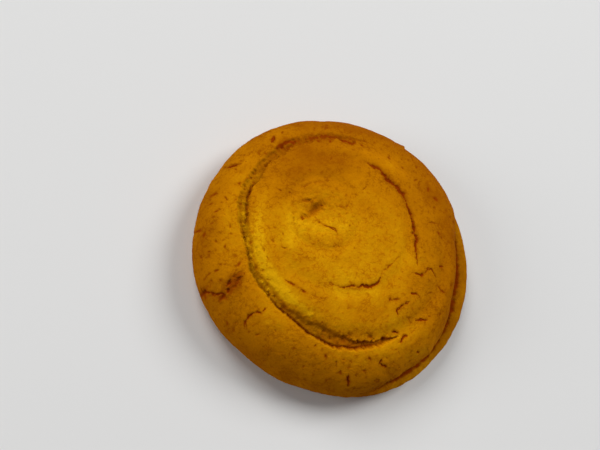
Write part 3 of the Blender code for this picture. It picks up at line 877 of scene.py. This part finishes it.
@dataclass(frozen=True)
class Browning:
    """Where the oven has browned the crust, with the skin's painted shade added in, from 0, pale lemon,
    to 1, brown.
    """

    centre_y: float = 1.5 * MM
    across: Table = Table(
        "distance_mm browning",
        (0.0, 0.31), (14.0, 0.33), (19.0, 0.42), (22.0, 0.36), (25.0, 0.48), (27.5, 0.50),
        (30.0, 0.58), (33.0, 0.70), (36.0, 0.84),
    )
    patches: Rows = (  # x, y, half-length, half-width, heading in degrees, browning added
        (-7.5, 19.5, 12.5, 6.0, 8.0, 0.47), (28.0, 3.0, 21.0, 8.5, 90.0, 0.27),
        (2.0, -10.0, 15.0, 8.0, 0.0, -0.22), (-17.0, -21.0, 13.0, 6.0, -42.0, -0.16),
        (5.0, -29.0, 14.0, 5.0, 4.0, -0.20), (-28.0, 4.0, 17.0, 4.5, 84.0, -0.20),
        (-24.0, 19.0, 8.0, 5.0, 45.0, -0.12), (8.0, 14.0, 12.0, 7.0, -40.0, 0.10),
        (12.0, 30.5, 14.0, 4.5, -22.0, 0.46), (-4.0, 31.0, 12.0, 3.5, 6.0, 0.26),
        (23.0, 15.0, 9.0, 6.0, -58.0, 0.15), (-14.5, 14.5, 7.0, 4.0, 45.0, 0.16),
        (-5.0, 3.0, 7.0, 5.0, 0.0, -0.12), (19.0, -26.0, 7.0, 2.5, 36.0, -0.28),
        (-16.0, 1.0, 9.0, 6.0, 80.0, -0.20), (21.0, -11.0, 10.0, 6.0, 60.0, 0.10),
        (13.5, -21.5, 8.0, 5.0, 30.0, -0.20), (12.0, -11.5, 5.0, 4.0, 0.0, 0.15),
        (-10.0, 23.0, 7.0, 3.0, 20.0, 0.16), (18.8, 8.6, 6.0, 3.0, 110.0, 0.12),
        (-27.0, -10.0, 3.2, 1.6, 62.0, 0.34),
    )
    low_side: float = -0.04  # added to the low side, from this height down and over this run
    low_z: float = 9.0 * MM
    low_run: float = 6.0 * MM
    mottle: Unevenness = Unevenness(4.0 * MM, 41, 3, 0.09)
    base: float = 0.92
    base_z: float = 1.2 * MM

    def over(self, skin: Skin) -> np.ndarray:
        """Work out the browning of each point.

        Args:
            skin: The skin.

        Returns:
            The browning, 0 to 1.
        """
        total = self.across.at(np.hypot(skin.x, skin.y - self.centre_y), "browning")
        for x, y, half_length, half_width, heading, added in self.patches:
            dx = skin.x - x * MM
            dy = skin.y - y * MM
            away = from_oval(dx, dy, math.radians(heading), half_length * MM, half_width * MM)
            total += added * bell(away)
        total += self.low_side * smooth((self.low_z - skin.z) / self.low_run)
        # the skin's added browning is partly painted shade
        total = total + self.mottle.at(skin.places) + skin.toasted_and_shaded
        on_base = smooth((self.base_z - skin.z) / self.base_z)
        return np.clip(total * (1.0 - on_base) + self.base * on_base, 0.0, 1.0)


class Layer(Enum):
    """The values that the skin hands to its finish."""

    # the browning, with painted shade added in
    BROWNING = "browning"
    # the crack mask: the dark crack colour, also painted shade in deep places and gaps
    CRACK = "crack"
    CRUMB = "crumb"
    RUN = "run"


@dataclass
class Cookie:
    """The whole cookie, as one closed mesh with its relief and its finish."""

    most_faces: int = 192_000
    dome: Dome = field(default_factory=Dome)
    seam: Seam = field(default_factory=Seam)
    foot: Foot = field(default_factory=Foot)
    pores: Pores = field(default_factory=Pores)
    crackle: Crackle = field(default_factory=Crackle)
    browning: Browning = field(default_factory=Browning)
    jagged: Unevenness = Unevenness(0.75 * MM, 31, 2)
    uneven: Unevenness = Unevenness(2.4 * MM, 32, 2)
    bumps: tuple[Unevenness, ...] = (
        Unevenness(7.0 * MM, 33, 2, 0.15 * MM),
        Unevenness(1.9 * MM, 34, 2, 0.070 * MM),
        Unevenness(0.7 * MM, 35, 2, 0.030 * MM),
    )
    base_z: float = 0.3 * MM  # all below this height is the base
    base_hollow: float = 0.20 * MM
    base_edge: float = 2.0 * MM  # the run over which the base goes hollow
    base_bumps: tuple[Unevenness, ...] = (
        Unevenness(2.6 * MM, 36, 3, 0.12 * MM),
        Unevenness(1.1 * MM, 37, 2, 0.06 * MM),
    )
    base_share: float = 0.9  # of the base's radius, on the map of the base
    top_map: tuple[float, float] = (0.35, 0.345)  # the middle and the radius of the top's map
    base_map: tuple[float, float] = (0.85, 0.14)
    dips: tuple[Dip, ...] = (
        Dip((0.0, 1.5), 25.0, 0.80, 2.3),
        Dip((-2.4, 4.2), 17.3, 0.35, 1.7),
        Dip((-7.0, 6.0), 9.0, 0.30, 1.3),
    )
    dimples: tuple[Dimple, ...] = (
        Dimple((-8.9, 7.0), 42.0, 2.2, 0.95, 0.9, 0.85),
        Dimple((-11.2, 8.8), 6.0, 1.5, 0.42, 0.3, 0.80),
        Dimple((-11.4, 4.8), -30.0, 0.8, 0.4, 0.25, 0.30),
        Dimple((-7.4, 5.6), 0.0, 5.0, 4.0, 0.8),
    )
    tears: tuple[Tear, ...] = (
        # The coil's inner seam, to the right and to the front.
        Tear(1.50, 1.4, ((4.6, 20.5), (6.5, 19.3), (8.8, 18.2), (10.0, 16.2), (11.2, 15.2),
                         (12.6, 14.0), (13.6, 12.4), (14.6, 10.8), (14.8, 9.4), (15.7, 6.8),
                         (16.0, 5.0), (16.1, 3.4))),
        Tear(1.05, 1.3, ((15.0, 8.8), (15.7, 6.8), (16.1, 4.0), (16.1, 2.0), (16.4, 0.9),
                         (15.9, -0.5), (15.8, -2.5), (15.9, -5.8))),
        Tear(1.00, 1.0, ((6.0, -8.5), (5.3, -10.4), (4.0, -11.0), (2.8, -11.4), (1.3, -11.2),
                         (0.5, -11.7), (-1.0, -11.5), (-2.0, -11.7), (-3.2, -12.1), (-4.2, -12.1))),
        Tear(0.45, 0.4, ((-3.8, -12.1), (-5.0, -11.7), (-6.3, -11.4), (-7.5, -10.8)), 0.6),
        Tear(0.50, 0.4, ((6.4, -7.4), (7.4, -7.2), (8.2, -6.4), (9.3, -5.6)), 0.7),
        Tear(0.35, 0.3, ((9.2, -5.6), (10.2, -4.6), (11.2, -3.9)), 0.45),
        # The end of the rope, by the dimple.
        Tear(0.65, 0.6, ((-9.2, 4.9), (-8.2, 3.7), (-7.3, 2.9), (-5.8, 2.4), (-4.7, 2.0),
                         (-4.1, 0.7)), 0.8),
        Tear(0.45, 0.4, ((-12.6, 5.1), (-12.2, 4.3), (-11.4, 4.3)), 0.8),
        Tear(0.40, 0.2, ((-12.9, 12.2), (-14.1, 9.4), (-14.6, 6.4), (-14.2, 3.0), (-13.2, -1.0)), 0.30),
        Tear(0.60, 0.3, ((-12.6, 11.6), (-11.0, 12.7), (-9.4, 13.3), (-8.0, 13.7), (-5.8, 13.7)), 0.35),
        Tear(0.60, 0.3, ((-8.6, 12.2), (-6.4, 12.8), (-4.2, 12.4), (-2.4, 11.2)), 0.3),
        # The streaks in the wide seam, at the back.
        Tear(1.00, 0.4, ((4.2, 25.9), (2.8, 26.4), (1.4, 26.8), (0.4, 27.3), (-0.6, 27.6))),
        Tear(0.90, 0.3, ((0.4, 27.8), (-1.5, 28.0), (-4.9, 27.7), (-8.1, 27.0), (-10.7, 26.2)), 0.75),
        Tear(0.60, 0.3, ((-1.5, 27.2), (-4.5, 26.9), (-7.0, 26.4)), 0.6),
        Tear(1.10, 0.5, ((-9.6, 26.2), (-10.9, 25.9), (-12.3, 25.6), (-13.9, 25.3), (-15.6, 24.3),
                         (-17.0, 23.2)), 0.9),
        # The crumb's inner edge.
        Tear(0.50, 0.5, ((-17.2, -9.8), (-16.0, -10.6), (-14.6, -11.6), (-13.0, -12.8),
                         (-11.2, -13.7)), 0.8),
        Tear(0.35, 0.3, ((-11.2, -13.7), (-9.9, -14.4), (-8.6, -14.7)), 0.5),
        Tear(0.35, 0.3, ((-21.5, -2.0), (-20.9, -4.0), (-20.0, -5.7)), 0.5),
        # The cracks past the seam's end.
        Tear(0.80, 1.0, ((10.3, -23.7), (11.3, -23.5), (11.9, -22.5), (13.2, -22.0))),
        Tear(0.70, 0.8, ((8.8, -21.6), (9.6, -21.4), (11.1, -21.8))),
        Tear(0.45, 0.4, ((8.6, -25.2), (9.8, -25.3), (10.8, -25.1)), 0.6),
        Tear(0.60, 0.8, ((14.2, -7.7), (15.6, -7.9), (16.6, -8.2), (18.0, -7.5), (18.9, -6.5),
                         (19.9, -6.4), (20.8, -7.4), (21.7, -8.3))),
        Tear(0.60, 0.8, ((13.2, -14.4), (12.2, -14.8), (10.7, -15.7), (9.7, -16.5), (10.0, -17.7))),
        Tear(0.65, 0.8, ((15.2, -18.7), (16.6, -18.4), (18.8, -18.3))),
        Tear(0.35, 0.3, ((12.3, -17.8), (13.3, -18.1), (14.0, -19.2), (15.3, -18.2)), 0.5),
        Tear(0.50, 0.6, ((13.0, -12.4), (14.2, -12.7), (14.8, -12.5), (16.0, -13.1)), 0.9),
        Tear(0.40, 0.4, ((17.6, -12.7), (18.4, -12.3), (20.4, -11.8)), 0.6),
        Tear(0.40, 0.4, ((22.2, -10.2), (23.2, -11.2), (24.3, -11.9)), 0.8),
        Tear(0.55, 0.5, ((22.9, -5.4), (24.6, -5.2)), 0.8),
        Tear(0.40, 0.4, ((7.6, -14.0), (8.6, -14.3), (9.7, -13.9)), 0.6),
        Tear(0.50, 0.5, ((16.3, -25.8), (17.7, -26.4)), 0.8),
        Tear(0.30, 0.3, ((15.6, -20.0), (14.6, -21.0), (13.6, -21.6)), 0.5),
        # The outer turn, round to the front and the left.
        Tear(0.70, 0.8, ((6.7, -27.2), (6.1, -28.4), (7.0, -28.8), (8.5, -29.4))),
        Tear(0.85, 1.1, ((-1.1, -30.9), (-0.9, -32.2), (-0.4, -33.6))),
        Tear(0.45, 0.4, ((-3.3, -30.3), (-2.8, -31.2)), 0.7),
        Tear(0.30, 0.3, ((-1.9, -29.4), (-0.6, -28.4)), 0.5),
        Tear(0.40, 0.4, ((-10.3, -25.8), (-9.6, -24.8)), 0.7),
        Tear(0.90, 1.1, ((-33.6, -10.6), (-32.0, -11.4), (-31.0, -12.2), (-29.9, -12.0),
                         (-29.0, -13.1))),
        Tear(1.90, 0.7, ((-25.6, -7.6), (-26.4, -8.3), (-27.0, -9.2), (-27.4, -9.8)), 0.46, 0.2),
        Tear(2.00, 0.7, ((-26.6, -9.2), (-27.6, -10.0), (-28.2, -11.2), (-28.4, -12.6)), 0.52, 0.2),
        Tear(1.70, 0.8, ((-34.2, -9.6), (-33.6, -10.6), (-33.0, -12.0), (-32.6, -12.9)), 0.7),
        Tear(0.50, 0.8, ((-25.2, -7.9), (-25.9, -9.0), (-26.9, -9.6), (-27.2, -10.8),
                         (-28.0, -11.3)), 0.7),
        Tear(0.60, 1.0, ((-28.0, -9.3), (-28.9, -10.6), (-28.7, -11.8), (-29.3, -12.9)), 1.0),
        Tear(0.45, 0.4, ((-31.4, -7.0), (-30.3, -6.9)), 0.8),
        Tear(0.35, 0.3, ((-33.3, -8.6), (-32.6, -7.7), (-31.6, -7.1)), 0.6),
        Tear(0.65, 0.8, ((-25.0, -20.1), (-25.3, -18.9), (-24.5, -17.9), (-23.7, -17.2),
                         (-22.2, -17.2), (-20.6, -16.1))),
        Tear(0.40, 0.4, ((-28.7, -18.0), (-28.4, -19.2)), 0.7),
        # The outer turn, at the back.
        Tear(0.85, 1.0, ((-28.3, 19.9), (-27.8, 18.6), (-26.6, 18.9), (-24.9, 19.2))),
        Tear(0.75, 0.9, ((-17.6, 24.8), (-17.0, 26.0), (-16.4, 27.4))),
        Tear(0.30, 0.3, ((-4.0, 29.2), (-3.3, 30.6), (-2.6, 32.0)), 0.5),
        Tear(0.40, 0.4, ((18.4, 16.6), (19.3, 17.3), (20.2, 17.7)), 0.6),
        Tear(0.40, 0.4, ((20.1, 20.7), (21.0, 21.6)), 0.7),
        Tear(0.30, 0.2, ((17.2, 15.0), (18.5, 15.6)), 0.4),
        Tear(0.45, 0.3, ((19.6, 5.0), (21.5, 5.5), (25.4, 5.8)), 0.45),
        Tear(0.35, 0.3, ((-25.6, 13.6), (-24.6, 14.6), (-23.4, 15.4)), 0.6),
        Tear(0.35, 0.3, ((-22.6, 9.2), (-23.6, 8.2)), 0.5),
    )

    def build(self) -> bpy.types.Object:
        """Make the cookie, in place of the plain solid.

        Returns:
            The cookie.
        """
        mesh = self.dome.turned()
        mesh.name = "crust"
        skin = self.dome.skin(numbers(mesh.vertices, "co", 3).reshape(-1, 3))
        mesh.vertices.foreach_set("co", self.sculpt(skin).ravel())
        mesh.update()
        values = {
            Layer.BROWNING: self.browning.over(skin),
            Layer.CRACK: np.clip(skin.crack, 0.0, 1.0),
            Layer.CRUMB: np.clip(skin.crumb, 0.0, 1.0),
            Layer.RUN: skin.run,
        }
        for layer, value in values.items():
            mesh.attributes.new(layer.value, "FLOAT", "POINT").data.foreach_set("value", value)
        cookie = bpy.data.objects.new("cookie", mesh)
        bpy.context.scene.collection.objects.link(cookie)
        self.lighten(cookie)
        self.unfold(cookie.data)
        cookie.data.shade_smooth()
        cookie.data.materials.append(CrustFinish().material())
        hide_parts(NODE)
        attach(cookie, "root")
        return cookie

    def relief(self, skin: Skin) -> np.ndarray:
        """Work the dips, the dimples, the seam, the cracks and the pits into the skin.

        Args:
            skin: The skin, which takes the cracks and the crumb too.

        Returns:
            How deep each point of the upper side and the side lies.
        """
        for dip in self.dips:
            dip.press(skin)
        jagged = self.jagged.at(skin.places)
        for dimple in self.dimples:
            dimple.press(skin, jagged)
        uneven = self.uneven.at(skin.places)
        broad = skin.depth.copy()
        self.seam.tear(skin)
        seam = skin.depth - broad
        skin.depth[:] = 0.0
        for tear in self.tears + self.crackle.tears():
            tear.tear(skin, jagged, uneven)
        self.pores.press(skin, jagged)
        narrow = skin.depth.copy()
        skin.depth[:] = 0.0
        self.seam.crumble(skin, jagged)
        relief = broad + np.maximum(seam, 0.5 * seam + narrow) + skin.depth
        for bumps in self.bumps:
            relief += bumps.at(skin.places)
        return relief

    def hollow(self, skin: Skin) -> np.ndarray:
        """Make the base a little hollow and uneven.

        Args:
            skin: The skin.

        Returns:
            How deep each point of the base lies.
        """
        from_edge = self.dome.radius - self.dome.base_in - np.hypot(skin.x, skin.y)
        under = np.full(len(skin.places), self.base_hollow)
        for bumps in self.base_bumps:
            under += bumps.at(skin.places)
        return under * smooth(from_edge / self.base_edge)

    def sculpt(self, skin: Skin) -> np.ndarray:
        """Shape the skin.

        Args:
            skin: The skin, which takes the cracks and the crumb too.

        Returns:
            Where each point ends up.
        """
        relief = self.relief(skin)
        skin.depth = np.where(skin.z < self.base_z, self.hollow(skin), relief)
        foot_out, foot_up = self.foot.shift(skin)
        baked = skin.places - skin.outward * skin.depth[:, None]
        radius = np.maximum(np.hypot(skin.x, skin.y), TINY)
        outline = self.dome.outline(np.arctan2(skin.y, skin.x))
        outline += np.where(radius > self.dome.base_in, foot_out / radius, 0.0)
        baked[:, :2] *= outline[:, None]
        baked[:, 2] += np.where(skin.z > self.dome.widest_z, foot_up, 0.0)
        baked[:, :2] -= BOX_MIDDLE
        return baked

    def lighten(self, cookie: bpy.types.Object) -> None:
        """Take out the points that add nothing to the shape.

        Args:
            cookie: The cookie.
        """
        faces = sum(len(polygon.vertices) - 2 for polygon in cookie.data.polygons)
        thin = cookie.modifiers.new("thin", "DECIMATE")
        thin.ratio = min(1.0, self.most_faces / faces)
        graph = bpy.context.evaluated_depsgraph_get()
        mesh = bpy.data.meshes.new_from_object(cookie.evaluated_get(graph))
        cookie.modifiers.remove(thin)
        heavy = cookie.data
        cookie.data = mesh
        bpy.data.meshes.remove(heavy)
        mesh.name = "crust"

    def unfold(self, mesh: bpy.types.Mesh) -> None:
        """Lay the top and the base out flat, as two round maps.

        Args:
            mesh: The cookie's mesh.
        """
        places = numbers(mesh.vertices, "co", 3).reshape(-1, 3)
        run = numbers(mesh.attributes[Layer.RUN.value].data, "value")
        corners = numbers(mesh.loops, "vertex_index", kind=np.int64)
        starts = numbers(mesh.polygons, "loop_start", kind=np.int64)
        totals = numbers(mesh.polygons, "loop_total", kind=np.int64)
        face_run = np.add.reduceat(run[corners], starts) / totals
        total_run = float(run.max())
        split = total_run - self.base_share * (self.dome.radius - self.dome.base_in)
        on_top = np.repeat(face_run < split, totals)
        angle = np.arctan2(places[:, 1], places[:, 0])[corners]
        on_top_map = self.top_map[1] * run[corners] / split
        on_base_map = self.base_map[1] * (total_run - run[corners]) / (total_run - split)
        reach = np.where(on_top, on_top_map, on_base_map)
        middle = np.where(on_top, self.top_map[0], self.base_map[0])
        flat = np.column_stack([middle + reach * np.cos(angle), middle + reach * np.sin(angle)])
        mesh.uv_layers.new(name="OFBake").data.foreach_set("uv", flat.ravel())


class Nodes:
    """A short way to lay out a node tree."""

    def __init__(self, tree: bpy.types.NodeTree) -> None:
        """Start on a tree."""
        self.tree = tree

    def add(self, kind: str, **settings: object) -> bpy.types.Node:
        """Add a node.

        Args:
            kind: The node's type.
            **settings: Its settings, and its inputs' values by name, with spaces as underscores.

        Returns:
            The node.
        """
        node = self.tree.nodes.new(kind)
        for name, value in settings.items():
            if hasattr(node, name):
                setattr(node, name, value)
            else:
                node.inputs[name.replace("_", " ")].default_value = value
        return node

    def join(self, start: object, end: bpy.types.NodeSocket) -> None:
        """Link an output to an input, or set the input to a plain value.

        Args:
            start: The output or the value.
            end: The input.
        """
        if isinstance(start, bpy.types.NodeSocket):
            self.tree.links.new(start, end)
        else:
            end.default_value = start

    def blend(self, mask: bpy.types.NodeSocket, under: object, over: object) -> bpy.types.NodeSocket:
        """Mix two colours by a mask.

        Args:
            mask: The mask's output.
            under: The colour or output where the mask is 0.
            over: The colour or output where the mask is 1.

        Returns:
            The mixed colour's output.
        """
        mix = self.add("ShaderNodeMix", data_type="RGBA")
        self.join(mask, mix.inputs["Factor"])
        self.join(under, mix.inputs[6])
        self.join(over, mix.inputs[7])
        return mix.outputs[2]

    def number(
        self, operation: str, first: object, second: object, clamp: bool = False
    ) -> bpy.types.NodeSocket:
        """Work out a number.

        Args:
            operation: The Math node's operation.
            first: A value or an output.
            second: A value or an output.
            clamp: Whether the result is kept from 0 to 1.

        Returns:
            The result's output.
        """
        math_node = self.add("ShaderNodeMath", operation=operation, use_clamp=clamp)
        self.join(first, math_node.inputs[0])
        self.join(second, math_node.inputs[1])
        return math_node.outputs[0]

    def past(
        self, value: bpy.types.NodeSocket, start: float, gain: float, clamp: bool = False
    ) -> bpy.types.NodeSocket:
        """Take a start off a value, and multiply the rest by a gain."""
        return self.number("MULTIPLY", self.number("SUBTRACT", value, start), gain, clamp)


class BakedGrain:
    """The grain of anything baked: slow mottling, speckles, hairline wrinkles and a grainy height."""

    NAME = "Baked grain"
    NOISES = (  # the name of the scale, its usual value and the noise's detail
        ("Mottle Scale", 160.0, 3.0),
        ("Speckle Scale", 900.0, 2.0),
        ("Grain Scale", 2600.0, 3.0),
        ("Wrinkle Scale", 520.0, 4.0),
    )
    ROUGHNESS = 0.55
    SPECKLES = (0.58, 6.0)  # where the noise starts to show as speckles, and how fast they set in
    SPECKLE_HEIGHT = 0.8
    WRINKLE_MIDDLE = 0.5  # a wrinkle runs where its noise passes through this value
    WRINKLE_FINENESS = 30.0
    WRINKLED = (0.44, 7.0)  # where the mottling starts to carry wrinkles, and how fast they set in

    @classmethod
    def group(cls) -> bpy.types.NodeTree:
        """Make the node group once.

        Returns:
            The group, with inputs for its scales and outputs Mottle, Speckle, Height and Wrinkle.
        """
        if cls.NAME in bpy.data.node_groups:
            return bpy.data.node_groups[cls.NAME]
        tree = bpy.data.node_groups.new(cls.NAME, "ShaderNodeTree")
        for name, scale, _detail in cls.NOISES:
            socket = tree.interface.new_socket(name, in_out="INPUT", socket_type="NodeSocketFloat")
            socket.default_value = scale
        for name in ("Mottle", "Speckle", "Height", "Wrinkle"):
            tree.interface.new_socket(name, in_out="OUTPUT", socket_type="NodeSocketFloat")
        nodes = Nodes(tree)
        scales = nodes.add("NodeGroupInput")
        result = nodes.add("NodeGroupOutput")
        place = nodes.add("ShaderNodeTexCoord")
        noises = []
        for name, _scale, detail in cls.NOISES:
            noise = nodes.add("ShaderNodeTexNoise", Detail=detail, Roughness=cls.ROUGHNESS)
            nodes.join(place.outputs["Object"], noise.inputs["Vector"])
            nodes.join(scales.outputs[name], noise.inputs["Scale"])
            noises.append(noise.outputs["Fac"])
        mottle, speckle, grain, wrinkle = noises
        nodes.join(mottle, result.inputs["Mottle"])
        nodes.join(nodes.past(speckle, *cls.SPECKLES, clamp=True), result.inputs["Speckle"])
        height = nodes.number("ADD", grain, nodes.number("MULTIPLY", speckle, cls.SPECKLE_HEIGHT))
        nodes.join(height, result.inputs["Height"])
        from_middle = nodes.number("SUBTRACT", wrinkle, cls.WRINKLE_MIDDLE)
        away = nodes.number("MULTIPLY", nodes.number("ABSOLUTE", from_middle, 0.0), cls.WRINKLE_FINENESS)
        line = nodes.number("SUBTRACT", 1.0, away, clamp=True)
        wrinkled = nodes.past(mottle, *cls.WRINKLED, clamp=True)
        nodes.join(nodes.number("MULTIPLY", line, wrinkled), result.inputs["Wrinkle"])
        return tree


@dataclass(frozen=True)
class CrustFinish:
    """A matt golden crust, pale lemon to brown, with torn crumb, and dark cracks whose colour is partly
    painted shade.
    """

    crust: Rows = (  # browning, red, green, blue
        (0.00, 0.73, 0.362, 0.0025),
        (0.17, 0.60, 0.255, 0.0012),
        (0.44, 0.50, 0.176, 0.0006),
        (0.72, 0.40, 0.130, 0.0004),
        (1.00, 0.31, 0.086, 0.0003),
    )
    crumb: Rows = (
        (0.00, 0.86, 0.450, 0.0030),
        (0.40, 0.51, 0.232, 0.0010),
        (0.75, 0.38, 0.150, 0.0006),
        (1.00, 0.30, 0.105, 0.0004),
    )
    # the dark crack colour: partly the crack's own colour, partly painted shade in deep places
    cleft_shade: tuple[float, ...] = (0.24, 0.036, 0.0004, 1.0)
    cleft_from: float = 0.14  # the crack value from which the dark crack colour, partly painted shade, sets in, and how fast
    cleft_gain: float = 1.4
    mottle: float = 0.40  # how much each part of the grain adds to the browning
    speckle: float = 0.30
    grit: float = 0.30
    wrinkle: float = 0.34
    mottle_middle: float = 0.5
    grit_middle: float = 0.9
    crumb_scale: float = 430.0
    crumb_middle: float = 0.45
    crumb_spread: float = 2.1
    roughness: float = 0.8
    specular: float = 0.004
    bump: float = 0.00014
    bump_strength: float = 0.8

    @staticmethod
    def ramp(nodes: Nodes, value: bpy.types.NodeSocket, rows: Rows) -> bpy.types.NodeSocket:
        """Turn a value into a colour.

        Args:
            nodes: The material's nodes.
            value: The value's output.
            rows: Each stop's place, red, green and blue.

        Returns:
            The colour's output.
        """
        ramp = nodes.add("ShaderNodeValToRGB")
        stops = ramp.color_ramp.elements
        for index, (place, *colour) in enumerate(rows):
            stop = stops[index] if index < len(stops) else stops.new(place)
            stop.position = place
            stop.color = (*colour, 1.0)
        nodes.join(value, ramp.inputs["Fac"])
        return ramp.outputs["Color"]

    def browned(
        self, nodes: Nodes, grain: bpy.types.Node, browning: bpy.types.NodeSocket
    ) -> bpy.types.NodeSocket:
        """Add the grain to the browning.

        Args:
            nodes: The material's nodes.
            grain: The grain's node.
            browning: The browning's output.

        Returns:
            The output of the browning with its grain, 0 to 1.
        """
        mottled = nodes.past(grain.outputs["Mottle"], self.mottle_middle, self.mottle)
        speckled = nodes.number("MULTIPLY", grain.outputs["Speckle"], self.speckle)
        gritty = nodes.past(grain.outputs["Height"], self.grit_middle, self.grit)
        wrinkled = nodes.number("MULTIPLY", grain.outputs["Wrinkle"], self.wrinkle)
        slow = nodes.number("ADD", mottled, speckled)
        uneven = nodes.number("ADD", slow, nodes.number("ADD", gritty, wrinkled))
        return nodes.number("ADD", browning, uneven, clamp=True)

    def material(self) -> bpy.types.Material:
        """Make the crust's material.

        Returns:
            The material.
        """
        material = bpy.data.materials.new("golden_crust")
        material.use_nodes = True
        nodes = Nodes(material.node_tree)
        shader = material.node_tree.nodes["Principled BSDF"]
        shader.inputs["Roughness"].default_value = self.roughness
        shader.inputs["Specular IOR Level"].default_value = self.specular
        grain = nodes.add("ShaderNodeGroup", node_tree=BakedGrain.group())
        read = {}
        for layer in (Layer.BROWNING, Layer.CRACK, Layer.CRUMB):
            read[layer] = nodes.add("ShaderNodeAttribute", attribute_name=layer.value).outputs["Fac"]
        crust = self.ramp(nodes, self.browned(nodes, grain, read[Layer.BROWNING]), self.crust)
        crumb_grain = nodes.add(
            "ShaderNodeGroup", node_tree=BakedGrain.group(), Mottle_Scale=self.crumb_scale
        )
        spread = nodes.past(crumb_grain.outputs["Mottle"], self.crumb_middle, self.crumb_spread)
        crumbly = nodes.number("ADD", read[Layer.BROWNING], spread, clamp=True)
        torn = nodes.blend(read[Layer.CRUMB], crust, self.ramp(nodes, crumbly, self.crumb))
        # the dark crack colour, partly painted shade, laid on where the crack mask is high
        deep = nodes.past(read[Layer.CRACK], self.cleft_from, self.cleft_gain, clamp=True)
        nodes.join(nodes.blend(deep, torn, self.cleft_shade), shader.inputs["Base Color"])
        bump = nodes.add("ShaderNodeBump", Strength=self.bump_strength, Distance=self.bump)
        nodes.join(grain.outputs["Height"], bump.inputs["Height"])
        nodes.join(bump.outputs["Normal"], shader.inputs["Normal"])
        return material


@dataclass(frozen=True)
class FloorFinish:
    """A plain pale matt floor."""

    colour: tuple[float, ...] = (0.76, 0.76, 0.755, 1.0)
    roughness: float = 0.9
    specular: float = 0.1

    def material(self) -> bpy.types.Material:
        """Make the floor's material.

        Returns:
            The material.
        """
        material = bpy.data.materials.new("pale_floor")
        material.use_nodes = True
        shader = material.node_tree.nodes["Principled BSDF"]
        shader.inputs["Base Color"].default_value = self.colour
        shader.inputs["Roughness"].default_value = self.roughness
        shader.inputs["Specular IOR Level"].default_value = self.specular
        return material


@dataclass(frozen=True)
class View:
    """The camera: it looks down steeply from the front left, rolled so that +Y is up in the picture."""

    elevation: float = 65.5
    roll: float = 46.2
    lens: float = 50.0
    sensor: float = 36.0
    nearest: float = 0.01
    distance: float = 0.2044
    target: tuple[float, float, float] = (-BOX_MIDDLE[0], -BOX_MIDDLE[1], LOOK_Z)
    picture: tuple[int, int] = (600, 450)
    target_pixel: tuple[float, float] = (338.57, 250.04)

    def axes(self) -> tuple[Vector, Vector, Vector]:
        """Work out which way the picture faces.

        Returns:
            The picture's right, its up and the way back to the camera.
        """
        turn = math.radians(-self.roll)
        rise = math.radians(self.elevation)
        ahead = (-math.sin(turn), math.cos(turn))
        back = Vector((-ahead[0] * math.cos(rise), -ahead[1] * math.cos(rise), math.sin(rise)))
        level = Vector((math.cos(turn), math.sin(turn), 0.0))
        steep = Vector((ahead[0] * math.sin(rise), ahead[1] * math.sin(rise), math.cos(rise)))
        roll = math.radians(self.roll)
        right = math.cos(roll) * level + math.sin(roll) * steep
        up = math.cos(roll) * steep - math.sin(roll) * level
        return right, up, back

    def build(self) -> bpy.types.Object:
        """Place the camera and make it the scene's.

        Returns:
            The camera.
        """
        right, up, back = self.axes()
        pixels = self.picture[0] * self.lens / self.sensor
        aside = (self.target_pixel[0] - self.picture[0] / 2.0) / pixels * self.distance
        below = (self.target_pixel[1] - self.picture[1] / 2.0) / pixels * self.distance
        data = bpy.data.cameras.new("camera")
        data.lens = self.lens
        data.sensor_width = self.sensor
        data.clip_start = self.nearest
        camera = bpy.data.objects.new("camera", data)
        bpy.context.scene.collection.objects.link(camera)
        matrix = Matrix((right, up, back)).transposed().to_4x4()
        matrix.translation = Vector(self.target) + back * self.distance - right * aside + up * below
        camera.matrix_world = matrix
        bpy.context.scene.camera = camera
        return camera


@dataclass(frozen=True)
class Lamp:
    """A big round soft lamp."""

    name: str
    azimuth: float
    elevation: float
    power: float
    size: float = 0.8
    distance: float = 1.5

    def build(self) -> bpy.types.Object:
        """Hang the lamp, turned to the cookie.

        Returns:
            The lamp.
        """
        turn = math.radians(self.azimuth)
        rise = math.radians(self.elevation)
        way = Vector((math.cos(turn) * math.cos(rise), math.sin(turn) * math.cos(rise), math.sin(rise)))
        data = bpy.data.lights.new(self.name, "AREA")
        data.shape = "DISK"
        data.size = self.size
        data.energy = self.power
        lamp = bpy.data.objects.new(self.name, data)
        bpy.context.scene.collection.objects.link(lamp)
        lamp.location = Vector((0.0, 0.0, LOOK_Z)) + way * self.distance
        lamp.rotation_euler = way.to_track_quat("Z", "Y").to_euler()
        return lamp


@dataclass(frozen=True)
class Studio:
    """The plain floor, three soft lamps and a little even light all round."""

    lamps: tuple[Lamp, ...] = (
        Lamp("right_lamp", 30.0, 45.0, 12.9),
        Lamp("back_lamp", 120.0, 45.0, 10.8),
        Lamp("left_lamp", 180.0, 25.0, 6.5),
    )
    around: float = 0.11  # the strength of the even light
    floor_size: float = 3.0

    def build(self) -> None:
        """Lay the floor and set the lights."""
        bpy.ops.mesh.primitive_plane_add(size=self.floor_size)
        floor = bpy.context.object
        floor.name = "floor"
        floor.data.materials.append(FloorFinish().material())
        for lamp in self.lamps:
            lamp.build()
        world = bpy.data.worlds.new("even_light")
        world.use_nodes = True
        background = world.node_tree.nodes["Background"]
        background.inputs["Color"].default_value = (1.0, 1.0, 1.0, 1.0)
        background.inputs["Strength"].default_value = self.around
        bpy.context.scene.world = world
        bpy.context.scene.view_settings.view_transform = "Standard"


def main() -> None:
    """Build the cookie and its studio."""
    logging.basicConfig(level=logging.INFO, format="%(message)s")
    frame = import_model()
    log.info("nodes in the frame: %s", ", ".join(frame["nodes"]))
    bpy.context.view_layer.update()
    cookie = Cookie().build()
    log.info("%s: %d faces", cookie.name, len(cookie.data.polygons))
    view = View()
    view.build()
    log.info("camera at %.3f m", view.distance)
    Studio().build()
    log.info("floor and lights")


if __name__ == "__main__":
    main()
